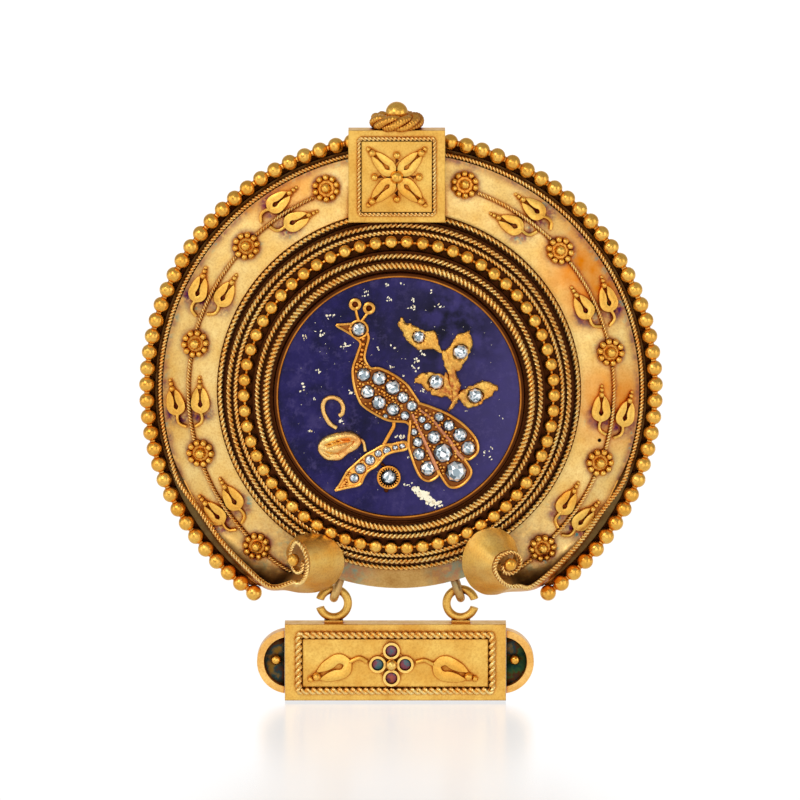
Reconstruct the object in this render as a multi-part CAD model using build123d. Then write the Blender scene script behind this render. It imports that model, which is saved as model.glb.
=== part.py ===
from build123d import *
from collections import namedtuple
import math
import os

# Round gold brooch with a lapis medallion and a small bar that swings below it.
# All sizes are millimetres. The pieces are laid out in the face frame: x to the wearer's
# left as a viewer sees it (right), y up and z towards the viewer, from the middle of the
# beaded rim. Places on the ring are given by radius and by angle, clockwise from the top.

# Seams between pieces that are made apart
SEAM = 0.03
SHEET = 0.35

# Pin and back
PIN_ABOVE_CENTRE = 7.5
PIN_STANDOFF = 2.6
PIN_RADIUS = 0.45
PIN_HALF_SPAN = 14.3
PIN_POST_RADIUS = 0.8
BACK_PLATE_RADIUS = 17.2
BACK_PLATE_THICKNESS = 0.4
BACK_PLATE_FRONT = -0.6
BACK_RIM_WIDTH = 0.5

# Lapis and its bezel
STONE_RADIUS = 12.15
STONE_THICKNESS = 1.4
STONE_FRONT = 5.0
BEZEL_WALL = 0.36
BEZEL_LIP = 0.16
RECESS_WIDTH = 0.24
RECESS_DEPTH = 0.3
COLLAR_WALL = 0.45

# Rings of wire round the lapis, from the stone outwards
Ring = namedtuple("Ring", "name wire space seat")
RINGS = [
    Ring("rope_ring_first", 0.75, 0.03, 4.90),
    Ring("rope_ring_second", 0.60, 0.20, 4.37),
    Ring("medallion_bead_wire", 1.26, 0.36, 3.34),
    Ring("rope_ring_third", 0.50, 0.02, 3.12),
    Ring("rope_ring_fourth", 0.60, 0.12, 2.67),
    Ring("rope_ring_fifth", 0.60, 0.28, 1.27),
]
MEDALLION_BEADS = 62
MEDALLION_CORE = 0.34
MEDALLION_SHIFT = -0.2

# Base dish under the medallion
DISH_RADIUS = 20.15
DISH_EDGE_HEIGHT = 0.35
DISH_SLOPE = 0.265
DISH_LIP = 0.45

# Crescent band and its beaded rim
BAND_WIDTH = 5.62
BAND_INNER_HEIGHT = 1.3
BAND_OUTER_HEIGHT = 0.3
BAND_CROWN = 0.12
BAND_END_ANGLE = 156.0
BAND_TRIM_DROP = 20.05
FLANGE_HEIGHT = -0.1
RIM_ROPE_WIRE = 0.5
RIM_GROOVE = 0.24
RIM_BEAD = 1.62
RIM_CORE = 0.6
RIM_BEADS = 79
RIM_END_ANGLE = 144.5

# Ornament on the band
ROSETTE_GRANULES = 10
ROSETTE_REACH = 1.15
GRANULE = 0.55
ROSETTE_SHEET = 0.12
ROSETTE_BALL = 1.0
STEM_WIRE = 0.4
STEM_CLEARANCE = 0.15
POD_LENGTH = 2.72
POD_HALF_WIDTH = 0.95
POD_SHEET = 0.3
POD_STEM_WIRE = 0.34
POD_TIP_GRANULES = [0.60, 0.48, 0.38]
POD_INNER_RADIUS = 20.05
POD_OUTER_RADIUS = 22.55

Rosette = namedtuple("Rosette", "angle radius")
ROSETTES = [
    Rosette(17.0, 21.65), Rosette(48.3, 21.20), Rosette(79.5, 21.25),
    Rosette(110.1, 21.15), Rosette(138.4, 21.30),
    Rosette(-20.1, 21.65), Rosette(-46.6, 21.20), Rosette(-77.0, 21.05),
    Rosette(-107.5, 21.00), Rosette(-137.5, 21.35),
]
Stem = namedtuple("Stem", "start end radius")
STEMS = [
    Stem(17.0, 48.3, 21.36), Stem(48.3, 79.5, 21.27), Stem(79.5, 110.1, 21.29),
    Stem(110.1, 138.4, 21.26), Stem(138.4, 148.0, 21.50),
    Stem(-20.1, -46.6, 21.36), Stem(-46.6, -77.0, 21.32), Stem(-77.0, -107.5, 21.25),
    Stem(-107.5, -137.5, 21.25), Stem(-137.5, -148.0, 21.40),
]
Pod = namedtuple("Pod", "radius angle lean")
PODS = [
    Pod(POD_OUTER_RADIUS, 35.9, 3.8), Pod(POD_INNER_RADIUS, 33.2, -5.7),
    Pod(POD_INNER_RADIUS, 65.1, -6.2), Pod(POD_OUTER_RADIUS, 66.0, 9.0),
    Pod(POD_INNER_RADIUS, 95.2, -3.8), Pod(POD_OUTER_RADIUS, 96.2, 10.0),
    Pod(POD_INNER_RADIUS, 124.4, -4.3), Pod(POD_OUTER_RADIUS - 0.15, 125.7, 6.9),
    Pod(POD_OUTER_RADIUS, -32.8, -6.2), Pod(POD_INNER_RADIUS, -31.4, 7.0),
    Pod(POD_OUTER_RADIUS, -63.3, -10.0), Pod(POD_INNER_RADIUS, -61.1, 1.3),
    Pod(POD_OUTER_RADIUS, -93.2, -10.0), Pod(POD_INNER_RADIUS, -92.8, 1.4),
    Pod(POD_INNER_RADIUS, -122.9, 1.0), Pod(POD_OUTER_RADIUS - 0.15, -123.9, -8.3),
]

# Volutes: the band's ends rise on edge and roll up. A wall section is set by its near
# edge, which carries the rope, and its far edge behind it.
SCROLL_WALL = 0.3
Entry = namedtuple("Entry", "angle near_radius near_height far_radius far_height")
SCROLL_ENTRY = [
    Entry(113.0, 23.62, 0.28, 23.72, -0.25),
    Entry(122.0, 23.66, 0.55, 23.90, -0.25),
    Entry(130.0, 23.66, 1.05, 24.10, -0.25),
    Entry(138.0, 23.62, 1.90, 24.30, -0.20),
    Entry(146.0, 23.52, 3.30, 24.40, 0.10),
]
Volute = namedtuple("Volute", "side near far turns")
Oval = namedtuple("Oval", "x y z half_width half_height lean_x lean_y")
Turn = namedtuple("Turn", "angle near far")
VOLUTES = [
    Volute(
        "right", Oval(10.60, -16.75, 6.1, 1.53, 2.0, -0.9, 0.5),
        Oval(9.05, -16.95, 3.2, 2.95, 3.65, -0.3, 1.3),
        [
            Turn(-60, 1.45, 1.06), Turn(-82, 1.25, 1.0), Turn(-109, 1.08, 1.0),
            Turn(-140, 1.0, 1.0), Turn(-175, 1.03, 1.0), Turn(-210, 0.92, 1.0),
            Turn(-245, 0.78, 1.0), Turn(-285, 0.80, 1.0), Turn(-325, 0.88, 0.98),
            Turn(-360, 0.80, 0.80), Turn(-400, 0.60, 0.55), Turn(-445, 0.50, 0.42),
            Turn(-495, 0.50, 0.38), Turn(-545, 0.50, 0.36),
        ],
    ),
    Volute(
        "left", Oval(-10.15, -16.45, 6.0, 1.12, 2.2, 1.5, 0.5),
        Oval(-9.50, -17.0, 3.2, 3.85, 3.4, 0.3, 1.3),
        [
            Turn(-60, 1.30, 1.06), Turn(-82, 1.12, 1.0), Turn(-109, 1.05, 1.0),
            Turn(-140, 1.0, 1.0), Turn(-175, 1.0, 1.0), Turn(-210, 0.98, 1.0),
            Turn(-245, 0.98, 0.98), Turn(-285, 1.0, 0.86), Turn(-325, 0.92, 0.62),
            Turn(-360, 0.80, 0.42), Turn(-400, 0.62, 0.34), Turn(-445, 0.52, 0.30),
            Turn(-495, 0.50, 0.28), Turn(-545, 0.48, 0.26),
        ],
    ),
]
VOLUTE_BALL = 1.26
VOLUTE_BALL_PLACES = [(10.9, -16.58, 7.1), (-10.73, -16.2, 6.6)]

# Plaque over the top of the rim
PLAQUE_CENTRE_X = -0.42
PLAQUE_WIDTH = 9.62
PLAQUE_HEIGHT = 9.25
PLAQUE_FRONT = 3.5
PLAQUE_FRAME_WIDTH = 7.9
PLAQUE_FRAME_HEIGHT = 8.0
PLAQUE_ROPE_WIRE = 0.42
PLAQUE_RAISE = 0.3
PLAQUE_PETAL_START = 0.3
PLAQUE_PETAL_LENGTH = 3.05
PLAQUE_PETAL_HALF_WIDTH = 0.85
PLAQUE_PETAL_SHEET = 0.22
PLAQUE_BOSS = 1.24
PLAQUE_GRANULES = [0.72, 0.48]
PLAQUE_SIDE_REACH = 2.2

# Finial
FINIAL_RING_RADIUS = 2.05
FINIAL_RING_WIRE = 1.15
FINIAL_BALL = 2.25
FINIAL_BALL_LIFT = 1.65
FINIAL_POST_RADIUS = 0.45
FINIAL_FORWARD = 1.9

# Hanging bar
BAR_CENTRE_X = -0.56
BAR_WIDTH = 22.2
BAR_HEIGHT = 7.75
BAR_DEPTH = 2.4
BAR_FRAME_WIDTH = 20.2
BAR_FRAME_HEIGHT = 6.45
BAR_ROPE_WIRE = 0.76
BAR_RAISE = 0.3
BAR_HINGE_DROP = 20.55
BAR_HINGE_FORWARD = -1.42
LUNETTE_RADIUS = 3.23
LUNETTE_REACH = 2.8
LUNETTE_RIM = 0.68
LUNETTE_SINK = 0.6
LUNETTE_STEP = 0.35
LUNETTE_BALL = 0.96
LUNETTE_BALL_OUT = 0.9
LUNETTE_BALL_RISE = 0.17

# Ornament on the bar, laid out from the bar's middle
BAR_FLOWER = (-0.40, -0.09)
COLLET_RADIUS = 0.85
COLLET_WALL = 0.24
COLLET_REACH = 1.38
COLLET_HEIGHT = 0.45
COLLET_FLOOR = 0.12
COLLET_SHEET = 0.08
BAR_BALL = 1.14
BAR_LEAF_LENGTH = 3.75
BAR_LEAF_HALF_WIDTH = 1.28
BAR_LEAF_SHEET = 0.28
BAR_LEAF_GRANULES = [0.84, 0.62]
BAR_STEM_WIRE = 0.38
BarLeaf = namedtuple("BarLeaf", "x y heading stem")
BAR_LEAF_LEFT = BarLeaf(-4.39, 0.23, 204.0, [(-4.6, 0.14), (-3.6, 0.55), (-2.84, 0.16)])
BAR_LEAF_RIGHT = BarLeaf(3.71, -0.07, -19.0, [(3.8, -0.1), (2.9, 0.3), (2.06, 0.1)])

# Loops: two ovals soldered behind the dish, two open rings soldered on the bar
LOOP_WIRE = 0.85
LOOP_LEG_SPACING = 1.9
LOOP_LENGTH = 3.3
LOOP_LEAN = 18.0
RING_CENTRE_X = -0.375
RING_HALF_SPAN = 6.375
RING_RADIUS = 1.43
RING_WIRE = 0.84
RING_GAP_ANGLE = 34.0
RING_SLACK = 0.06
SADDLE_WIDTH = 1.9
SADDLE_HEIGHT = 0.28
SADDLE_GAP = 0.12

# Inlay on the lapis. Its outlines are in the face frame, from the medallion's middle.
INLAY_SHEET = 0.32
STONE_SINK = 0.16
STONE_CLEARANCE = 0.04
WIRE_FINE = 0.34

# Rose-cut stones: rings of corners as a share of the radius and of the height
STONE_SIDES = 8
STONE_HEIGHT_SHARE = 0.62
CutRing = namedtuple("CutRing", "reach level twist")
ROSE_CUT = [
    CutRing(0.92, 0.0, 0.0), CutRing(1.0, 0.18, 0.0), CutRing(0.74, 0.7, 0.5), CutRing(0.4, 1.0, 0.0),
]
Gem = namedtuple("Gem", "x y radius turn")
HEAD_STONE = Gem(-4.00, 6.84, 0.70, 9)
BODY_STONES = [
    Gem(-3.53, 2.27, 0.67, 15), Gem(-1.96, 1.91, 0.72, 0), Gem(-0.62, 0.99, 0.75, 22),
    Gem(-3.13, 0.53, 0.69, 30), Gem(-2.00, -0.53, 0.71, 11), Gem(0.40, -0.02, 0.58, 5),
    Gem(-0.58, -1.23, 0.65, 38), Gem(1.29, -0.87, 0.54, 17), Gem(0.59, -1.87, 0.46, 26),
    Gem(-1.36, -1.93, 0.27, 0),
]
TAIL_STONES = [
    Gem(4.01, -1.97, 0.48, 12), Gem(4.97, -2.84, 0.57, 33), Gem(6.08, -3.81, 0.70, 4),
    Gem(6.91, -5.13, 0.71, 20), Gem(2.29, -2.23, 0.38, 0), Gem(2.83, -2.96, 0.40, 15),
    Gem(3.50, -4.04, 0.67, 28), Gem(4.39, -5.62, 0.95, 8), Gem(5.67, -7.49, 1.05, 36),
    Gem(1.52, -3.52, 0.37, 10), Gem(1.87, -4.53, 0.51, 25), Gem(2.00, -5.75, 0.62, 2),
    Gem(2.89, -7.17, 0.76, 18),
]
BRANCH_STONES = [
    Gem(-4.46, -8.16, 0.48, 7), Gem(-3.85, -7.19, 0.55, 31), Gem(-2.89, -6.34, 0.52, 14),
    Gem(-2.07, -5.66, 0.37, 0), Gem(-1.21, -5.37, 0.41, 22), Gem(-0.38, -5.09, 0.29, 9),
    Gem(0.32, -4.94, 0.31, 35),
]
LEAF_STONES = [
    Gem(1.97, 6.09, 0.60, 6), Gem(6.14, 4.55, 0.76, 27), Gem(3.69, 1.53, 0.74, 13),
    Gem(7.60, 0.13, 0.75, 41),
]
BERRY_STONE = Gem(-1.02, -8.05, 0.74, 16)

# Outlines of the inlay
HEAD_RADIUS = 1.0
BEAK = [(-6.22, 7.27), (-4.5, 7.3), (-4.5, 6.39)]
BREAST = [
    (-4.45, 6.11), (-3.83, 5.48), (-4.1, 4.48), (-4.6, 2.84), (-4.45, 1.14), (-4.0, -0.2),
    (-3.54, -0.87), (-2.32, -1.69), (-1.02, -2.31), (0.59, -2.46), (1.05, -2.77),
]
BACK = [
    (1.98, -0.49), (1.22, 0.68), (0.61, 1.45), (-0.54, 2.27), (-1.92, 2.93), (-2.84, 2.97),
    (-3.41, 3.86), (-3.34, 4.71), (-3.03, 5.94), (-3.15, 6.5),
]
FEATHERS = [
    [(1.3, -0.6), (3.05, -0.91), (4.84, -1.68), (6.43, -2.77), (7.65, -4.2), (7.84, -5.43),
     (7.1, -6.2), (6.2, -5.9), (5.03, -4.2), (3.18, -2.0), (1.5, -1.3)],
    [(1.3, -1.2), (3.18, -2.07), (5.03, -4.32), (6.43, -6.1), (7.2, -7.55), (6.3, -8.81),
     (5.0, -8.98), (3.82, -7.29), (2.93, -5.3), (1.9, -3.1)],
    [(1.1, -1.8), (1.97, -3.17), (2.93, -5.2), (3.82, -7.2), (3.88, -7.88), (2.93, -8.42),
     (1.97, -7.75), (1.08, -5.43), (0.95, -4.45), (1.1, -2.91)],
]
CREST = [(-4.37, 9.36), (-2.98, 8.98)]
CREST_RADIUS = 0.48
LEAVES = [
    [(-0.13, 7.49), (0.29, 8.0), (0.9, 7.45), (2.39, 6.78), (3.58, 6.58), (4.19, 4.93), (4.6, 4.35),
     (3.39, 4.7), (2.39, 4.66), (1.55, 4.93), (0.86, 5.57), (0.09, 6.88)],
    [(4.6, 4.35), (5.38, 5.57), (5.83, 6.25), (6.98, 6.78), (7.17, 6.18), (7.29, 5.01), (6.9, 4.15),
     (5.83, 2.61)],
    [(4.84, 2.23), (4.3, 2.23), (3.08, 2.61), (2.16, 2.3), (1.43, 1.52), (2.16, 1.3), (2.77, 0.68),
     (3.39, 0.17), (4.76, -0.02), (5.53, -0.4)],
    [(5.7, 0.2), (6.1, 0.61), (7.9, 1.49), (8.97, 1.49), (9.8, 1.06), (9.74, 0.61), (8.97, -0.02),
     (8.13, -0.71), (7.06, -1.11), (6.45, -0.81)],
]
TRUNK = [
    (4.3, 4.7), (4.95, 4.4), (5.76, 2.23), (6.03, 1.37), (6.0, 0.4), (5.68, -0.5), (5.15, -1.3),
    (4.92, -1.3), (5.2, -0.3), (4.84, 2.23), (4.4, 3.4),
]
BOUGH = [
    (-6.37, -9.4), (-5.23, -9.11), (-3.93, -8.81), (-3.54, -8.1), (-3.08, -7.42), (-2.24, -6.88),
    (-1.4, -5.87), (-0.5, -5.47), (0.75, -5.2), (0.75, -4.5), (-0.63, -4.71), (-1.63, -4.86),
    (-2.47, -5.33), (-3.4, -5.87), (-4.61, -6.96), (-5.23, -7.57), (-5.84, -8.71),
]
LEG = [(-0.5, -2.52), (-0.5, -2.95), (-0.94, -3.71), (-1.75, -5.2)]
LEG_WIRE = 0.4
FRUIT = [
    (-8.0, -4.86), (-7.7, -3.95), (-6.8, -3.44), (-5.6, -3.34), (-4.6, -3.75), (-4.2, -4.66),
    (-4.5, -5.67), (-5.3, -6.34), (-6.1, -5.97), (-6.9, -6.07), (-7.5, -6.42), (-7.95, -5.67),
]
FRUIT_THICKNESS = 0.75
FRUIT_STEM = [(-4.45, -4.0), (-3.6, -4.45), (-3.35, -5.45)]
TENDRIL = [
    (-6.22, -3.1), (-6.9, -2.69), (-7.45, -1.76), (-7.64, -0.91), (-7.37, -0.2), (-6.68, 0.05),
    (-5.92, -0.2), (-5.53, -0.84), (-5.6, -1.62), (-5.95, -1.88),
]
TENDRIL_WIRE = 0.46
BERRY_RADIUS = 1.19
BERRY_WALL = 0.38
BERRY_HEIGHT = 0.55
BERRY_BEAD = 0.5
BERRY_STEM = [(-1.8, -6.74), (-1.6, -6.82), (-1.4, -7.1)]


def polar(radius, angle, height=0.0):
    """Point of the face frame at a radius and an angle clockwise from the top."""
    turn = math.radians(angle)
    return Vector(radius * math.sin(turn), radius * math.cos(turn), height)


FACE = Location(
    Plane(
        origin=(0, BACK_PLATE_FRONT - BACK_PLATE_THICKNESS - PIN_STANDOFF, -PIN_ABOVE_CENTRE),
        x_dir=(1, 0, 0),
        z_dir=(0, -1, 0),
    )
)
STANDING = (Align.CENTER, Align.CENTER, Align.MIN)
os.makedirs("parts", exist_ok=True)


def save(name, *shapes):
    """Stand the solids of one piece up in the part's own frame and write them."""
    standing = [FACE * solid for shape in shapes for solid in shape.solids()]
    export_step(Compound(standing), f"parts/{name}.step")


def joined(first, *rest):
    """One solid of soldered pieces."""
    return first.fuse(*rest)


def turned(outline, arc=360.0, start=0.0):
    """Solid turned from a closed outline of (radius, height) round the face axis."""
    face = make_face(Plane.XZ * outline)
    return Rot(0, 0, start) * revolve(face, Axis.Z, arc)


def tube(path, radius):
    """Round wire along a path."""
    ring = Plane(path @ 0, z_dir=path % 0) * Circle(radius)
    return sweep(ring, path=path)


def rounded_path(points):
    """Straight runs joined by the largest arcs that they allow."""
    radii = []
    for before, corner, after in zip(points, points[1:], points[2:]):
        first, second = corner - before, after - corner
        half_turn = math.radians(first.get_angle(second)) / 2
        radii.append(0.45 * min(first.length, second.length) / math.tan(half_turn))
    return FilletPolyline(*points, radius=radii)


def arc_wire(radius, wire, start, arc):
    """Round wire bent to an arc that runs clockwise from a start angle."""
    bent = Torus(radius, wire / 2, major_angle=arc, align=(Align.NONE, Align.NONE, Align.NONE))
    return Rot(0, 0, 90 - start - arc) * bent


def bead_ring(radius, bead, core, angles, height, arc):
    """Beads on a core wire, soldered into one."""
    ball = Pos(0, radius, 0) * Rot(0, 0, 90) * Sphere(bead / 2)
    beads = [Rot(0, 0, -angle) * ball for angle in angles]
    return Pos(0, 0, height) * joined(arc_wire(radius, core, -arc / 2, arc), *beads)


# Radii that follow from the stone outwards
BEZEL_OUTER = STONE_RADIUS + SEAM + BEZEL_WALL
COLLAR_INNER = BEZEL_OUTER + SEAM
ring_radius = {}
edge_of_last = COLLAR_INNER + RECESS_WIDTH
ring_edges = []
for ring in RINGS:
    inner_edge = edge_of_last + ring.space
    ring_radius[ring.name] = inner_edge + ring.wire / 2
    ring_edges.append((inner_edge, inner_edge + ring.wire))
    edge_of_last = inner_edge + ring.wire
COLLAR_OUTER = edge_of_last + SEAM
BAND_INNER = COLLAR_OUTER + SEAM
BAND_OUTER = BAND_INNER + BAND_WIDTH
BAND_MIDDLE = (BAND_INNER + BAND_OUTER) / 2
BAND_MIDDLE_HEIGHT = (BAND_INNER_HEIGHT + BAND_OUTER_HEIGHT) / 2 + BAND_CROWN
RIM_ROPE_RADIUS = BAND_OUTER + SEAM + RIM_ROPE_WIRE / 2
RIM_RADIUS = RIM_ROPE_RADIUS + RIM_ROPE_WIRE / 2 + RIM_GROOVE + RIM_BEAD / 2
FLANGE_OUTER = RIM_RADIUS - RIM_BEAD / 2 - SEAM
RIM_ROPE_HEIGHT = FLANGE_HEIGHT + SEAM + RIM_ROPE_WIRE / 2
MEDALLION = Pos(MEDALLION_SHIFT, 0, 0)


def band_slope(radius):
    """Fall of the band's front, gentler inside its crown line than outside."""
    if radius < BAND_MIDDLE:
        return (BAND_MIDDLE_HEIGHT - BAND_INNER_HEIGHT) / (BAND_MIDDLE - BAND_INNER)
    return (BAND_OUTER_HEIGHT - BAND_MIDDLE_HEIGHT) / (BAND_OUTER - BAND_MIDDLE)


def band_height(radius):
    """Height of the band's front at a radius."""
    return BAND_MIDDLE_HEIGHT + (radius - BAND_MIDDLE) * band_slope(radius)


def on_band(radius, angle, heading):
    """Frame that lies on the band's front, its x axis pointing along a heading."""
    normal = (Vector(0, 0, 1) - polar(band_slope(radius), angle)).normalized()
    forward = polar(1, heading)
    forward = (forward - normal * forward.dot(normal)).normalized()
    origin = polar(radius, angle, band_height(radius))
    return Location(Plane(origin + normal * SEAM, x_dir=forward, z_dir=normal))


def crescent_band():
    """Crowned sheet round the medallion with a low flange for the rope and the beads."""
    inner = BAND_INNER - abs(MEDALLION_SHIFT)
    inner_height = band_height(inner)
    flange_inner = BAND_OUTER - SHEET
    flange_back = FLANGE_HEIGHT - SHEET
    sheet = turned(Polyline(
        (inner, inner_height), (BAND_MIDDLE, BAND_MIDDLE_HEIGHT), (BAND_OUTER, BAND_OUTER_HEIGHT),
        (BAND_OUTER, FLANGE_HEIGHT), (FLANGE_OUTER, FLANGE_HEIGHT), (FLANGE_OUTER, flange_back),
        (flange_inner, flange_back), (flange_inner, BAND_OUTER_HEIGHT - SHEET),
        (BAND_MIDDLE, BAND_MIDDLE_HEIGHT - SHEET), (inner, inner_height - SHEET), close=True,
    ), arc=2 * BAND_END_ANGLE, start=90 - BAND_END_ANGLE)
    side = 2 * BAND_OUTER
    below = Pos(0, -BAND_TRIM_DROP - BAND_OUTER, 0) * Box(side, side, 4 * BAND_INNER_HEIGHT)
    return sheet - MEDALLION * Cylinder(BAND_INNER, 4 * BAND_INNER_HEIGHT) - below


def scroll_edges(volute):
    """Near and far edge points of a volute's wall, from the rim to its inner end."""
    sign = 1 if volute.side == "right" else -1
    near = [polar(row.near_radius, sign * row.angle, row.near_height) for row in SCROLL_ENTRY]
    far = [polar(row.far_radius, sign * row.angle, row.far_height) for row in SCROLL_ENTRY]
    for row in volute.turns:
        turn = math.radians(row.angle)
        across, up = sign * math.cos(turn), math.sin(turn)
        for edge, oval, reach in ((near, volute.near, row.near), (far, volute.far, row.far)):
            edge.append(Vector(
                oval.x + oval.half_width * reach * across,
                oval.y + oval.half_height * reach * up,
                oval.z + reach * (oval.lean_x * across + oval.lean_y * up),
            ))
    return near, far


def scroll_wall(volute):
    """Thin wall between the two edges of a volute."""
    near, far = scroll_edges(volute)
    sections = []
    for index, (front, back) in enumerate(zip(near, far)):
        before, after = near[max(index - 1, 0)], near[min(index + 1, len(near) - 1)]
        before_far, after_far = far[max(index - 1, 0)], far[min(index + 1, len(far) - 1)]
        along = (after - before + after_far - before_far).normalized()
        half = (front - back).cross(along).normalized() * (SCROLL_WALL / 2)
        sections.append(Wire.make_polygon([front + half, front - half, back - half, back + half]))
    return Solid.make_loft(sections, ruled=True)


def medallion_frame():
    """Stepped collar, stone seat and base dish in one turned shell."""
    floor = STONE_FRONT - STONE_THICKNESS - SEAM
    floor_back = floor - COLLAR_WALL
    front = [(0, floor), (COLLAR_INNER, floor)]
    recess = RINGS[0].seat - RECESS_DEPTH
    step = COLLAR_INNER + RECESS_WIDTH
    front += [(COLLAR_INNER, recess), (step, recess)]
    back = []
    for index, ring in enumerate(RINGS):
        last = index == len(RINGS) - 1
        edge = COLLAR_OUTER if last else (ring_edges[index][1] + ring_edges[index + 1][0]) / 2
        front += [(step, ring.seat), (edge, ring.seat)]
        below = DISH_EDGE_HEIGHT + (DISH_RADIUS - edge) * DISH_SLOPE if last else RINGS[index + 1].seat
        upper = min(ring.seat - COLLAR_WALL, floor_back)
        lower = min(below - COLLAR_WALL, floor_back)
        if upper - lower > 0.01:
            back += [(edge - COLLAR_WALL, upper), (edge - COLLAR_WALL, lower)]
        step = edge
    front += [(COLLAR_OUTER, DISH_EDGE_HEIGHT + (DISH_RADIUS - COLLAR_OUTER) * DISH_SLOPE)]
    front += [(DISH_RADIUS, DISH_EDGE_HEIGHT), (DISH_RADIUS, DISH_EDGE_HEIGHT - DISH_LIP)]
    outline = front + back[::-1] + [(0, floor_back)]
    return turned(Polyline(*outline, close=True))


def bezel():
    """Thin wall round the lapis with a lip that turns in over its edge."""
    bottom = STONE_FRONT - STONE_THICKNESS
    inner = STONE_RADIUS + SEAM
    lip_inner = STONE_RADIUS - BEZEL_LIP
    top = STONE_FRONT + 0.2
    return turned(Polyline(
        (inner, bottom), (BEZEL_OUTER, bottom), (BEZEL_OUTER, top - 0.1), (BEZEL_OUTER - 0.1, top),
        (lip_inner + 0.08, top), (lip_inner, STONE_FRONT + SEAM), (inner, STONE_FRONT + SEAM), close=True,
    ))


def back_plate():
    """Shallow tray that closes the back of the medallion."""
    back = BACK_PLATE_FRONT - BACK_PLATE_THICKNESS
    rim_top = RINGS[-1].seat - COLLAR_WALL - 2 * SEAM
    inner = BACK_PLATE_RADIUS - BACK_RIM_WIDTH
    return turned(Polyline(
        (0, back), (BACK_PLATE_RADIUS, back), (BACK_PLATE_RADIUS, rim_top), (inner, rim_top),
        (inner, BACK_PLATE_FRONT), (0, BACK_PLATE_FRONT), close=True,
    ))


def pin():
    """Plain straight pin on two posts."""
    height = BACK_PLATE_FRONT - BACK_PLATE_THICKNESS - PIN_STANDOFF
    length = 2 * PIN_HALF_SPAN
    stem = Pos(MEDALLION_SHIFT, PIN_ABOVE_CENTRE, height) * Rot(0, 90, 0) * Cylinder(PIN_RADIUS, length)
    post_length = PIN_STANDOFF + PIN_POST_RADIUS - SEAM
    posts = [
        Pos(MEDALLION_SHIFT + side * PIN_HALF_SPAN, PIN_ABOVE_CENTRE, height - PIN_POST_RADIUS)
        * Cylinder(PIN_POST_RADIUS, post_length, align=STANDING)
        for side in (-1, 1)
    ]
    return joined(stem, *posts)


def rosette():
    """Ring of granules round a ball, soldered to a small disc."""
    grain = GRANULE / 2
    disc = Cylinder(ROSETTE_REACH + ROSETTE_SHEET / 2, ROSETTE_SHEET, align=STANDING)
    ball = Pos(0, 0, ROSETTE_BALL / 2) * Sphere(ROSETTE_BALL / 2)
    grains = [
        Pos(*polar(ROSETTE_REACH, 360 * index / ROSETTE_GRANULES, grain)) * Sphere(grain)
        for index in range(ROSETTE_GRANULES)
    ]
    return joined(disc, ball, *grains)


def keyhole_leaf(length, half_width):
    """Outline of a leaf with a keyhole slot, its base at the origin and its tips along x."""
    mouth = 0.27 * half_width
    slot = 0.07 * half_width
    drop = 0.2 * half_width
    tip = Vector(length, mouth)
    belly = Vector(0.36 * length, half_width)
    shoulder = Vector(0.7 * length, 0.82 * half_width)
    throat = Vector(0.72 * length, slot)
    neck = Vector(0.58 * length, slot)
    eye = Vector(0.36 * length, drop)
    eye_end = Vector(0.26 * length, 0)
    low = [Vector(p.X, -p.Y) for p in (tip, belly, shoulder, throat, neck, eye)]
    outline = (
        ThreePointArc(low[1], (0, 0), belly)
        + ThreePointArc(belly, shoulder, tip)
        + Polyline(tip, throat, neck, eye)
        + ThreePointArc(eye, eye_end, low[5])
        + Polyline(low[5], low[4], low[3], low[0])
        + ThreePointArc(low[0], low[2], low[1])
    )
    return make_face(outline)


def tip_granules(tip, grains):
    """Granules in a row beyond the tip of a leaf, the first between its two points."""
    row = []
    reach = tip + 0.09
    for index, grain in enumerate(grains):
        if index:
            reach += (grains[index - 1] + grain) / 2 - 0.05
        row.append(Pos(reach, 0, grain / 2) * Sphere(grain / 2))
    return row


def pod(bend):
    """Leaf pod with its tip granules and a stem that bends to one side, base at x = 0."""
    body = extrude(keyhole_leaf(POD_LENGTH, POD_HALF_WIDTH), POD_SHEET)
    stem_height = POD_STEM_WIRE / 2
    bow = ThreePointArc((0.25, 0, stem_height), (-0.72, -0.12 * bend, stem_height),
                        (-1.25, 0.56 * bend, stem_height))
    stem = tube(bow, POD_STEM_WIRE / 2)
    return joined(body, stem, *tip_granules(POD_LENGTH, POD_TIP_GRANULES))


def leaf_pods():
    """Pods on both sides of the stems, tips towards the top of the brooch."""
    shapes = {bend: Pos(-POD_LENGTH / 2, 0, 0) * pod(bend) for bend in (-1, 1)}
    placed = []
    for row in PODS:
        side = 1 if row.angle > 0 else -1
        outer = 1 if row.radius > ROSETTES[0].radius else -1
        heading = row.angle - 90 * side + row.lean
        placed.append(on_band(row.radius, row.angle, heading) * shapes[side * outer])
    return placed


def stem_wires():
    """Lengths of rope from rosette to rosette, clear of both."""
    clear = ROSETTE_REACH + GRANULE / 2 + STEM_CLEARANCE
    wires = []
    for row in STEMS:
        side = 1 if row.end > row.start else -1
        trim = math.degrees(clear / row.radius)
        last = row in (STEMS[4], STEMS[9])
        start = abs(row.start) + trim
        end = abs(row.end) - (0 if last else trim)
        height = band_height(row.radius) + STEM_WIRE / 2 + SEAM
        first = start if side > 0 else -end
        wires.append(Pos(0, 0, height) * arc_wire(row.radius, STEM_WIRE, first, end - start))
    return wires


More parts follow.
